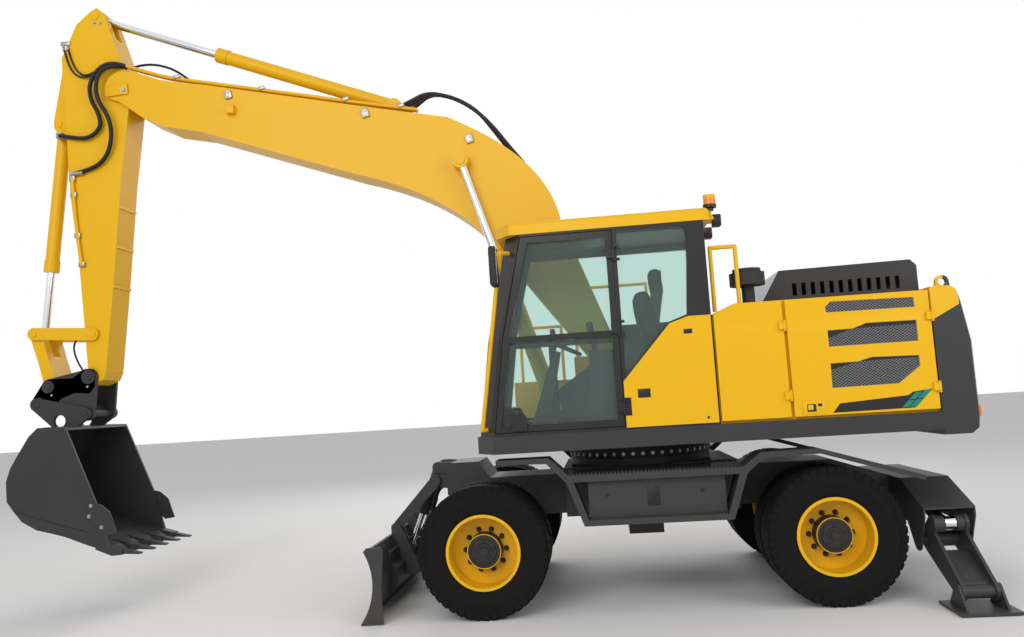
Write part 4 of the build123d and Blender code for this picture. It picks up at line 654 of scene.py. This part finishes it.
def add_mesh(bm, outline, sign):
    """Crossed wires cut to an outline in the side view."""
    middle = sum((Vector((a, 0, z)) for a, z in outline), Vector()) / len(outline)
    reach = max((Vector((a, 0, z)) - middle).length for a, z in outline)
    rows = int(reach / MESH_PITCH) + 1
    for lean, depth in ((MESH_LEAN, 0.0), (-MESH_LEAN, MESH_LAP)):
        turn = Matrix.Rotation(lean, 3, "Y")
        for row in range(-rows, rows + 1):
            off = turn @ Vector((0, 0, row * MESH_PITCH))
            spot = at(middle.x, sign * (SIDE - MESH_INSET - depth), middle.z) + off
            add_block(bm, spot, (2 * reach, MESH_WIRE * MESH_FLAT, MESH_WIRE), edge=0, turn=turn)
    corners = [at(a, 0, z) for a, z in outline]
    for start, end in zip(corners, corners[1:] + corners[:1]):
        outward = (end - start).cross(Vector((0, 1, 0)))
        if outward.dot(at(middle.x, 0, middle.z) - start) > 0:
            outward = -outward
        geometry = bm.verts[:] + bm.edges[:] + bm.faces[:]
        cut = bmesh.ops.bisect_plane(bm, geom=geometry, plane_co=start, plane_no=outward, clear_outer=True, dist=1e-5)
        rims = [g for g in cut["geom_cut"] if isinstance(g, bmesh.types.BMEdge)]
        bmesh.ops.edgeloop_fill(bm, edges=rims)


def make_grilles(name, sign, body):
    """Framed mesh in each of a door's recesses, over a black sheet that is painted shade for the dark space behind
    the vent.
    """
    shade_sheet, wires = bmesh.new(), bmesh.new()
    for outline in GRILLES:
        panel = bmesh.new()
        add_mesh(panel, outline, sign)
        patch = bpy.data.meshes.new("patch")
        panel.to_mesh(patch)
        panel.free()
        wires.from_mesh(patch)
        bpy.data.meshes.remove(patch)
        corners = [at(a, sign * (SIDE - MESH_FRAME_INSET), z) for a, z in outline]
        for start, end in zip(corners, corners[1:] + corners[:1]):
            add_bar(wires, start, end, MESH_FRAME_RADIUS, sides=8)
        # a black sheet on each recess's floor: painted shade for the dark space behind the vent
        points = [at(a, sign * (SIDE - POCKET_DEPTH + 0.0004), z) for a, z in outline]
        add_plate(shade_sheet, points if sign < 0 else points[::-1], 0.001, edge=0)
    piece("grille_mesh_" + name, wires, MESH_GREY, body, smooth=0)
    piece("grille_backing_" + name, shade_sheet, PAINT_BLACK, body, smooth=0)


make_grilles("left", 1, "left_rear_door")
make_grilles("right", -1, "right_door")


def side_shape(bm, points, sign, face, thickness, edge=0.0008):
    """A flat shape on a side of the machine, standing proud of a face."""
    places = [at(a, sign * face, z) for a, z in points]
    normal = (places[1] - places[0]).cross(places[2] - places[1])
    if normal.y * sign < 0:
        places = places[::-1]
    add_plate(bm, places, thickness, edge=edge)


def part_of(start, end, share):
    """A point part of the way between two."""
    return tuple(a + (b - a) * share for a, b in zip(start, end))


BAND = ((-1.457, 1.476), (-1.516, 1.546), (-2.030, 1.578), (-2.067, 1.602), (-2.217, 1.617), (-2.071, 1.480))
STRIPES = (
    ((-1.970, 1.483), (-2.088, 1.601), (-2.139, 1.601), (-2.019, 1.484)),
    ((-2.029, 1.483), (-2.161, 1.616), (-2.212, 1.615), (-2.080, 1.483)),
)


def make_band(name, sign, body):
    """The dark band with its four coloured bars."""
    bm = bmesh.new()
    side_shape(bm, BAND, sign, SIDE + 0.0002, 0.0012, edge=0)
    piece("black_band_" + name, bm, PAINT_BLACK, body, smooth=0)
    bm = bmesh.new()
    for a, b, c, d in STRIPES:
        for low, high in ((0.03, 0.46), (0.52, 0.97)):
            corners = (part_of(a, b, low), part_of(a, b, high), part_of(d, c, high), part_of(d, c, low))
            side_shape(bm, corners, sign, SIDE + 0.0015, 0.0008, edge=0)
    piece("teal_stripes_" + name, bm, STRIPE_TEAL, body, smooth=0)


make_band("left", 1, "left_rear_door")
make_band("right", -1, "right_door")


def make_latch(name, ahead, height, sign, body):
    """Paddle latch in its raised frame; its recess is not cut but painted as shade with black blocks."""
    bm = bmesh.new()
    add_block(bm, at(ahead, sign * (SIDE + 0.002), height), (0.176, 0.008, 0.104), edge=0.003)
    piece("latch_frame_" + name, bm, PAINT_YELLOW, body)
    # black blocks on the frame: painted shade standing in for the latch's recess
    bm = bmesh.new()
    add_block(bm, at(ahead + 0.020, sign * (SIDE + 0.0045), height), (0.070, 0.006, 0.060), edge=0.002)
    add_block(bm, at(ahead - 0.045, sign * (SIDE + 0.0045), height + 0.02), (0.034, 0.006, 0.024), edge=0.002)
    piece("latch_recess_shade_" + name, bm, PAINT_BLACK, body)
    bm = bmesh.new()
    add_block(bm, at(ahead + 0.028, sign * (SIDE + 0.008), height + 0.004), (0.040, 0.006, 0.040), edge=0.002)
    lock = at(ahead - 0.045, sign * (SIDE + 0.004), height - 0.012)
    add_bar(bm, lock, lock + Vector((0, sign * 0.006, 0)), 0.009)
    piece("latch_paddle_" + name, bm, PAINT_YELLOW, body)


make_latch("left_rear", -1.318, 1.524, 1, "left_rear_door")
make_latch("right_rear", -1.318, 1.524, -1, "right_door")

# ---------------------------------------------------------------- cab
SKIN_FACE = SIDE + 0.0123
LOCK_PLATE = ((1.098, 1.663), (0.974, 1.664), (0.945, 1.600), (0.939, 1.513), (1.102, 1.515))
bm = bmesh.new()
side_shape(bm, LOCK_PLATE, 1, SIDE + 0.0002, 0.006, 0.002)
piece("door_lock_plate", bm, PLASTIC, "cab_door")
# a black block and disc on the lock plate: painted shade standing in for the lock's slot and hole
bm = bmesh.new()
add_block(bm, at(1.004, SIDE + 0.006, 1.598), (0.034, 0.006, 0.082), edge=0.002)
add_bar(bm, at(1.068, SIDE + 0.004, 1.606), at(1.068, SIDE + 0.010, 1.606), 0.010)
piece("door_lock_slot_shade", bm, PAINT_BLACK, "cab_door")
# black blocks on the cab's skin: painted shade standing in for recesses that are not cut
bm = bmesh.new()
add_block(bm, at(-0.398, SKIN_FACE, 2.188), (0.068, 0.004, 0.038), edge=0.0015)
add_block(bm, at(-0.018, SKIN_FACE, 1.720), (0.100, 0.004, 0.070), edge=0.0015)
piece("skin_recess_shade", bm, PAINT_BLACK, "upper")
bm = bmesh.new()
for ahead, height in ((-0.045, 1.715), (-0.505, 1.500)):
    add_bar(bm, at(ahead, SKIN_FACE - 0.001, height), at(ahead, SKIN_FACE + 0.005, height), 0.010)
piece("skin_locks", bm, CAST_IRON, "upper")


DOME = ((0.0515, 0.018), (0.0515, 0.060), (0.049, 0.078), (0.041, 0.092), (0.026, 0.101), (0.0, 0.104))


def make_beacon():
    """The turning lamp on the roof's rear corner."""
    foot = at(-0.670, 1.120, 3.2)
    bm = bmesh.new()
    add_bar(bm, foot + Vector((0, 0, -0.006)), foot + Vector((0, 0, 0.020)), 0.0545, sides=40)
    add_bar(bm, foot + Vector((0, 0, -0.030)), foot + Vector((0, 0, -0.004)), 0.030, sides=24)
    piece("beacon_foot", bm, PAINT_BLACK, "upper")
    bm = bmesh.new()
    add_turned(bm, foot, (0, 0, 1), [(radius, 0, up) for radius, up in DOME], steps=40)
    piece("beacon_dome", bm, AMBER, "upper")


def make_work_lamp(name, left):
    """A lamp that looks back from under the roof."""
    bm = bmesh.new()
    add_block(bm, at(-0.7295, left, 3.105), (0.070, 0.098, 0.098), edge=0.008)
    piece("lamp_body_" + name, bm, PAINT_BLACK, "upper")
    bm = bmesh.new()
    add_block(bm, at(-0.7650, left, 3.105), (0.006, 0.080, 0.080), edge=0.002)
    piece("lamp_lens_" + name, bm, LAMP_LENS, "upper")


make_beacon()
make_work_lamp("right", 0.445)
make_work_lamp("left", 1.005)


def make_mirror(name, arm, head, size):
    """A mirror on its arm, with its glass facing back."""
    bm = bmesh.new()
    start, end = arm
    add_bar(bm, at(*start), at(*end), 0.012, sides=16)
    add_bar(bm, at(*end), at(*end) + Vector((0, 0, 0.055)), 0.015, sides=16)
    add_bar(bm, at(*end), at(*end) - Vector((0, 0, 0.055)), 0.015, sides=16)
    add_block(bm, at(*head), size, edge=0.019)
    frames = piece("mirror_" + name, bm, PLASTIC, "upper", smooth=60)
    bm = bmesh.new()
    add_block(bm, at(*head) - Vector((size[0] / 2, 0, 0)), (0.004, size[1] - 0.036, size[2] - 0.036), edge=0.0018)
    piece("mirror_glass_" + name, bm, MIRROR_GLASS, "upper")
    return frames


LEFT_ARM = ((1.096, 1.2374, 2.790), (1.096, 1.400, 2.790))
RIGHT_ARM = ((1.150, -1.1974, 2.450), (1.150, -1.330, 2.450))
left_mirror = make_mirror("left", LEFT_ARM, (1.106, 1.400, 2.800), (0.060, 0.180, 0.320))
make_mirror("right", RIGHT_ARM, (1.150, -1.330, 2.570), (0.060, 0.180, 0.340))
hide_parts("mirrors")


CROWN, PINCH, CHANNEL_DEPTH, CHANNEL_AT, CHANNEL_WIDTH = 0.28, 0.06, 0.10, 0.62, 0.07


def make_cushion(name, place, size, lean):
    """A seat pad: a rounded block, crowned in the middle and drawn in at its edges."""
    bm = bmesh.new()
    bmesh.ops.create_cube(bm, size=1.0)
    bmesh.ops.subdivide_edges(bm, edges=bm.edges[:], cuts=7, use_grid_fill=True)
    for vert in bm.verts:
        u, v, w = (2 * c for c in vert.co)
        crown = (1 - u**4) * (1 - v**4)
        channel = CHANNEL_DEPTH * math.exp(-(((abs(v) - CHANNEL_AT) / CHANNEL_WIDTH) ** 2))
        waist = 1 - PINCH + PINCH * (1 - w * w)
        thickness = 1 - CROWN + CROWN * crown - channel
        vert.co = Vector((u * waist, v * waist, w * thickness)) / 2
    bmesh.ops.scale(bm, vec=size, verts=bm.verts)
    bmesh.ops.rotate(bm, cent=(0, 0, 0), matrix=Matrix.Rotation(lean, 3, "Y"), verts=bm.verts)
    bmesh.ops.translate(bm, vec=at(*place), verts=bm.verts)
    cushion = piece(name, bm, SEAT_CLOTH, "upper", smooth=80)
    rounding = cushion.modifiers.new("rounding", "SUBSURF")
    rounding.levels = rounding.render_levels = 2


make_cushion("seat_cushion", (0.075, 0.800, 1.925), (0.600, 0.470, 0.170), 0.05)
make_cushion("seat_back", (-0.125, 0.800, 2.250), (0.640, 0.450, 0.170), -1.37)
make_cushion("head_rest", (-0.205, 0.800, 2.640), (0.230, 0.260, 0.110), -1.45)

# ---------------------------------------------------------------- undercarriage trim
STEP_TEETH, TOOTH_ROWS = 46, (0.012, 0.060, 0.108)
bm = bmesh.new()
for sign in (1, -1):
    for start, end, height in ((0.640, -0.757, 1.100), (0.505, -0.620, 0.745)):
        pitch = (start - end) / STEP_TEETH
        for step in range(STEP_TEETH):
            ahead = start - (step + 0.5) * pitch
            for inset in TOOTH_ROWS:
                add_block(bm, at(ahead, sign * (SIDE - inset), height + 0.004), (pitch * 0.55, 0.018, 0.010), edge=0)
piece("step_teeth", bm, PAINT_FRAME, "undercarriage", smooth=0)

BOX_FACE, BOX_LOCK, BOX_LOCK_HEIGHT = 1.180, -0.035, 0.905
bm = bmesh.new()
for sign in (1, -1):
    add_block(bm, at(BOX_LOCK, sign * (BOX_FACE + 0.0005), BOX_LOCK_HEIGHT), (0.100, 0.008, 0.150), edge=0.003)
    for side in (-0.040, 0.040):
        for up in (-0.066, 0.066):
            corner = at(BOX_LOCK + side, sign * (BOX_FACE + 0.004), BOX_LOCK_HEIGHT + up)
            add_bolt(bm, corner, (0, sign, 0), 0.005, 0.004)
piece("box_lock_plate", bm, PAINT_BLACK, "undercarriage")
bm = bmesh.new()
for sign in (1, -1):
    add_bolt(bm, at(BOX_LOCK, sign * (BOX_FACE + 0.004), BOX_LOCK_HEIGHT), (0, sign, 0), 0.013, 0.010)
    for ahead in (-0.42, 0.33):
        add_bolt(bm, at(ahead, sign * BOX_FACE, 0.930), (0, sign, 0), 0.012, 0.008)
piece("box_bolts", bm, CAST_IRON, "undercarriage")

RING_BOLTS, RING_FACE, RING_HEIGHT = 48, 0.640, 1.205
bm = bmesh.new()
for turn in around(RING_BOLTS):
    outward = Vector((math.cos(turn), math.sin(turn), 0))
    add_bolt(bm, at(0, 0, RING_HEIGHT) + outward * RING_FACE, outward, 0.012, 0.010)
piece("ring_bolts", bm, BARE_STEEL, "undercarriage", smooth=0)

# ---------------------------------------------------------------- ram eyes
BOOM_EYE, BOOM_EYE_RADIUS, BOOM_PIN_RADIUS, BOOM_EYE_IN, BOOM_EYE_OUT = (1.487, 4.023), 0.0785, 0.052, 0.243, 0.3365
PIN_CAP = 0.010


def add_eye(bm, centre, near, far, radius):
    """A sleeve round an eye, from one place across the machine to another."""
    ahead, height = centre
    add_bar(bm, at(ahead, near, height), at(ahead, far, height), radius, sides=48)


bm = bmesh.new()
for sign in (1, -1):
    add_eye(bm, BOOM_EYE, sign * BOOM_EYE_IN, sign * BOOM_EYE_OUT, BOOM_EYE_RADIUS)
    cap = at(BOOM_EYE[0], sign * BOOM_EYE_OUT, BOOM_EYE[1])
    add_bar(bm, cap, cap + Vector((0, sign * PIN_CAP, 0)), BOOM_PIN_RADIUS, sides=32)
piece("boom_rod_eyes", bm, PAINT_YELLOW, "boom_rods")
for name, centre, radius, half, body in (
    ("stick_rod_eye", (5.205, 5.930), 0.0635, 0.0565, "stick_rod"),
    ("bucket_rod_eye", (5.888, 2.681), 0.0615, 0.0515, "bucket_rod"),
):
    bm = bmesh.new()
    add_eye(bm, centre, -half, half, radius)
    piece(name, bm, PAINT_YELLOW, body)

# ---------------------------------------------------------------- quick hitch and bucket
HITCH_FACE, BUCKET_FACE = 0.193, 0.530
HITCH_COVER = [(5.250, 2.290), (5.345, 2.300), (5.480, 2.215), (5.730, 2.222), (5.800, 2.170), (5.905, 2.020)]
HITCH_COVER += [(5.905, 1.950), (5.820, 1.905), (5.700, 1.930), (5.590, 2.020), (5.450, 2.065)]
HITCH_COVER += [(5.300, 2.050), (5.240, 2.120)]
# a boss's place, radius and distance out from the hitch's side
HITCH_BOSSES = ((5.306, 2.216, 0.070, 0.0), (5.727, 2.144, 0.062, 0.0), (5.330, 1.860, 0.058, 0.038))
BOSS_HEIGHT, PIN_HEIGHT, PIN_SHARE = 0.018, 0.026, 0.55
bm = bmesh.new()
for sign in (1, -1):
    outline = [at(a, sign * HITCH_FACE, z) for a, z in HITCH_COVER]
    add_plate(bm, outline if sign < 0 else outline[::-1], 0.009, edge=0.002)
    for ahead, height, radius, out in HITCH_BOSSES:
        foot = at(ahead, sign * (HITCH_FACE + out), height)
        add_bar(bm, foot, foot + Vector((0, sign * BOSS_HEIGHT, 0)), radius, sides=40)
        add_bar(bm, foot, foot + Vector((0, sign * PIN_HEIGHT, 0)), radius * PIN_SHARE, sides=32)
    foot = at(5.820, sign * HITCH_FACE, 2.010)
    add_bar(bm, foot, foot + Vector((0, sign * 0.015, 0)), 0.034, sides=32)
piece("hitch_covers", bm, PAINT_DARK, "bucket")

bm = bmesh.new()
for sign in (1, -1):
    for ahead, height in ((5.316, 2.120), (5.690, 2.060)):
        add_bolt(bm, at(ahead, sign * (HITCH_FACE + 0.008), height), (0, sign, 0), 0.009, 0.008)
piece("hitch_grease_bolts", bm, BARE_STEEL, "bucket")

CUTTER = [(5.098, 1.036), (4.985, 1.005), (4.900, 0.930), (4.835, 0.735), (4.938, 0.722), (5.130, 0.892)]
bm = bmesh.new()
for sign in (1, -1):
    outline = [at(a, sign * BUCKET_FACE, z) for a, z in CUTTER]
    add_plate(bm, outline if sign < 0 else outline[::-1], 0.014, edge=0.003)
piece("side_cutters", bm, PAINT_DARK, "bucket")

bm = bmesh.new()
for sign in (1, -1):
    for ahead, height in ((5.085, 1.000), (5.105, 0.905), (4.985, 0.800)):
        add_bolt(bm, at(ahead, sign * (BUCKET_FACE + 0.013), height), (0, sign, 0), 0.014, 0.010)
piece("cutter_bolts", bm, BARE_STEEL, "bucket")

SEAM = [(5.860, 0.990), (5.620, 0.905), (5.350, 0.825), (5.130, 0.760)]
bm = bmesh.new()
for sign in (1, -1):
    for start, end in zip(SEAM, SEAM[1:]):
        near = sign * (BUCKET_FACE + 0.001)
        add_bar(bm, at(start[0], near, start[1]), at(end[0], near, end[1]), 0.005, sides=8)
piece("bucket_seams", bm, CAST_IRON, "bucket")

# ---------------------------------------------------------------- tail lamps
LAMP_IN, LAMP_WIDTH, LAMP_LEVEL, LAMP_HEIGHT, LAMP_BACK = 1.064, 0.078, 1.430, 0.092, -2.589
for name, low, high, cover in (("stop", 0.0, 0.46, RED_LENS), ("turn", 0.50, 1.0, AMBER)):
    bm = bmesh.new()
    for sign in (1, -1):
        centre = at(LAMP_BACK, sign * (LAMP_IN + LAMP_WIDTH * (low + high) / 2), LAMP_LEVEL)
        add_block(bm, centre, (0.020, LAMP_WIDTH * (high - low), LAMP_HEIGHT), edge=0.004)
    piece("tail_lamp_" + name, bm, cover, "upper")

# ---------------------------------------------------------------- pipes and hoses


BOOM_LEAN = Matrix.Rotation(0.23, 3, "Y")
PIPE, HOSE, THIN_HOSE = 0.017, 0.021, 0.009


def lay_line(name, points, radius, cover, body, ends=None):
    """A pipe or hose along a smooth line; one that crosses a joint is left on no body, fixed where it is laid."""
    route = bpy.data.curves.new(name, "CURVE")
    route.dimensions = "3D"
    route.bevel_depth = radius
    route.bevel_resolution = 4
    route.use_fill_caps = True
    spline = route.splines.new("NURBS")
    spline.points.add(len(points) - 1)
    for knot, point in zip(spline.points, points):
        knot.co = (*at(*point), 1)
    spline.order_u = 3
    spline.use_endpoint_u = True
    spline.resolution_u = 8
    holder = bpy.data.objects.new(name + "_route", route)
    bpy.context.collection.objects.link(holder)
    skin = bpy.data.meshes.new_from_object(holder)
    bpy.data.objects.remove(holder)
    skin.name = name
    skin.materials.clear()
    skin.materials.append(cover)
    for face in skin.polygons:
        face.use_smooth = True
    skin.set_sharp_from_angle(angle=math.radians(50))
    line = bpy.data.objects.new(name, skin)
    bpy.context.collection.objects.link(line)
    if isinstance(body, str):
        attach(line, body)
    else:
        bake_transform(line)
    return line


BOOM_TOP = ((4.86, 5.34), (4.50, 5.195), (4.185, 5.120), (3.40, 4.94), (2.46, 4.722), (2.20, 4.665), (1.90, 4.60))
for number, left in enumerate((0.178, 0.128, -0.128, -0.178)):
    lay_line("boom_pipe_%d" % (number + 1), [(a, left, z) for a, z in BOOM_TOP], PIPE, PAINT_YELLOW, "boom")

bm = bmesh.new()
for ahead, height in ((4.33, 5.165), (3.45, 4.96), (2.60, 4.765), (2.05, 4.645)):
    for left in (0.153, -0.153):
        add_block(bm, at(ahead, left, height + 0.004), (0.060, 0.110, 0.034), edge=0.004, turn=BOOM_LEAN)
        add_bolt(bm, at(ahead, left, height + 0.020), (-0.23, 0, 0.97), 0.010, 0.010)
piece("boom_pipe_clamps", bm, BARE_STEEL, "boom")

bm = bmesh.new()
for ahead, height in ((3.789, 4.925), (2.409, 4.600), (1.400, 4.250)):
    add_block(bm, at(ahead, BOOM_HALF + 0.012, height), (0.070, 0.024, 0.085), edge=0.004, turn=BOOM_LEAN)
    add_bolt(bm, at(ahead, BOOM_HALF + 0.024, height + 0.018), (0, 1, 0), 0.010, 0.009)
    add_bolt(bm, at(ahead, BOOM_HALF + 0.024, height - 0.022), (0, 1, 0), 0.010, 0.009)
piece("boom_side_clamps", bm, BARE_STEEL, "boom")

for number, left in enumerate((0.145, 0.055, -0.055)):
    lift = 0.03 * number
    points = [(2.10, left, 4.650), (1.98, left, 4.690), (1.80, left, 4.775 + lift), (1.55, left, 4.700 + lift)]
    points += [(1.34, left, 4.560 + lift), (1.17, left, 4.370), (1.03, left, 4.160), (0.90, left, 3.985)]
    lay_line("boom_foot_hose_%d" % (number + 1), points, 0.019, HOSE_RUBBER, "boom")

lay_line(
    "boom_nose_hose",
    [(4.86, 0.10, 5.345), (4.78, 0.10, 5.370), (4.60, 0.10, 5.365)]
    + [(4.42, 0.10, 5.300), (4.28, 0.10, 5.200), (4.19, 0.10, 5.118)],
    0.012,
    HOSE_RUBBER,
    "boom",
)

CROSSING = (("boom", "arm"), ((5.00, 0.20, 5.36), (5.16, 0.20, 5.20)))
lay_line(
    "arm_ram_hose",
    [(4.88, 0.178, 5.345), (4.98, 0.200, 5.385), (5.12, 0.225, 5.345), (5.235, 0.225, 5.190), (5.235, 0.215, 5.020)]
    + [(5.150, 0.205, 4.860), (5.130, 0.200, 4.720), (5.260, 0.195, 4.620)]
    + [(5.430, 0.190, 4.640), (5.600, 0.165, 4.690)],
    HOSE,
    HOSE_RUBBER,
    *CROSSING,
)
lay_line(
    "arm_pipe_hose",
    [(4.88, 0.128, 5.345), (4.98, 0.215, 5.350), (5.10, 0.260, 5.290), (5.150, 0.262, 5.150), (5.130, 0.258, 4.980)]
    + [(5.030, 0.245, 4.820), (5.000, 0.225, 4.640), (5.060, 0.200, 4.430)]
    + [(5.220, 0.185, 4.300), (5.440, 0.180, 4.275)],
    HOSE,
    HOSE_RUBBER,
    *CROSSING,
)
lay_line(
    "hitch_hose",
    [(5.400, 0.120, 2.640), (5.490, 0.118, 2.600), (5.515, 0.112, 2.500)]
    + [(5.470, 0.110, 2.370), (5.405, 0.110, 2.270), (5.390, 0.112, 2.170)],
    THIN_HOSE,
    HOSE_RUBBER,
    ("arm", "bucket"),
    ((5.40, 0.12, 2.60), (5.39, 0.11, 2.20)),
)
for number, shift in enumerate((0.0, 0.045)):
    lay_line(
        "arm_top_line_%d" % (number + 1),
        [(5.545 - shift, 0.168, 5.620), (5.500 - shift, 0.172, 5.440), (5.420 - shift, 0.176, 5.300 + shift / 3)]
        + [(5.280, 0.180, 5.255 + shift / 2), (5.120, 0.200, 5.345), (4.98, 0.215, 5.390), (4.88, 0.150, 5.350)],
        THIN_HOSE,
        HOSE_RUBBER,
        ("arm", "boom"),
        ((5.16, 0.20, 5.20), (5.00, 0.20, 5.36)),
    )

bm = bmesh.new()
for number, shift in enumerate((0.0, 0.045)):
    add_bar(bm, at(5.545 - shift, 0.158, 5.640), at(5.540 - shift, 0.170, 5.575), 0.013, sides=12)
add_block(bm, at(5.525, 0.160, 5.655), (0.100, 0.020, 0.040), edge=0.003)
add_block(bm, at(5.610, 0.125, 4.695), (0.060, 0.090, 0.060), edge=0.005)
add_bar(bm, at(5.340, 0.180, 4.277), at(5.465, 0.178, 4.275), 0.0245, sides=16)
add_block(bm, at(5.462, 0.170, 4.235), (0.060, 0.034, 0.075), edge=0.004)
piece("arm_hose_ends", bm, BARE_STEEL, "arm")

lay_line(
    "arm_pipe",
    [(5.462, 0.176, 4.240), (5.448, 0.176, 4.000), (5.420, 0.176, 3.700)]
    + [(5.395, 0.176, 3.480), (5.372, 0.176, 3.330)],
    PIPE,
    PAINT_YELLOW,
    "arm",
)
bm = bmesh.new()
for ahead, height in ((5.452, 4.060), (5.414, 3.640), (5.374, 3.345)):
    add_block(bm, at(ahead, 0.168, height), (0.062, 0.034, 0.052), edge=0.004)
    add_bolt(bm, at(ahead + 0.02, 0.184, height), (0, 1, 0), 0.009, 0.008)
piece("arm_pipe_clamps", bm, BARE_STEEL, "arm")

bm = bmesh.new()
keeper_turn = Matrix.Rotation(0.05, 3, "Y")
add_block(bm, at(4.955, BOOM_HALF + 0.015, 5.085), (0.240, 0.012, 0.110), edge=0.005, turn=keeper_turn)
piece("nose_pin_keeper", bm, PAINT_YELLOW, "boom")
bm = bmesh.new()
add_bolt(bm, at(4.880, BOOM_HALF + 0.021, 5.080), (0, 1, 0), 0.020, 0.014)
piece("nose_keeper_bolt", bm, BARE_STEEL, "boom")
bm = bmesh.new()
for ahead, height in ((5.150, 5.838), (5.215, 5.848)):
    add_bolt(bm, at(ahead, ARM_HALF + 0.001, height), (0, 1, 0), 0.012, 0.012)
piece("arm_pin_bolts", bm, BARE_STEEL, "arm")
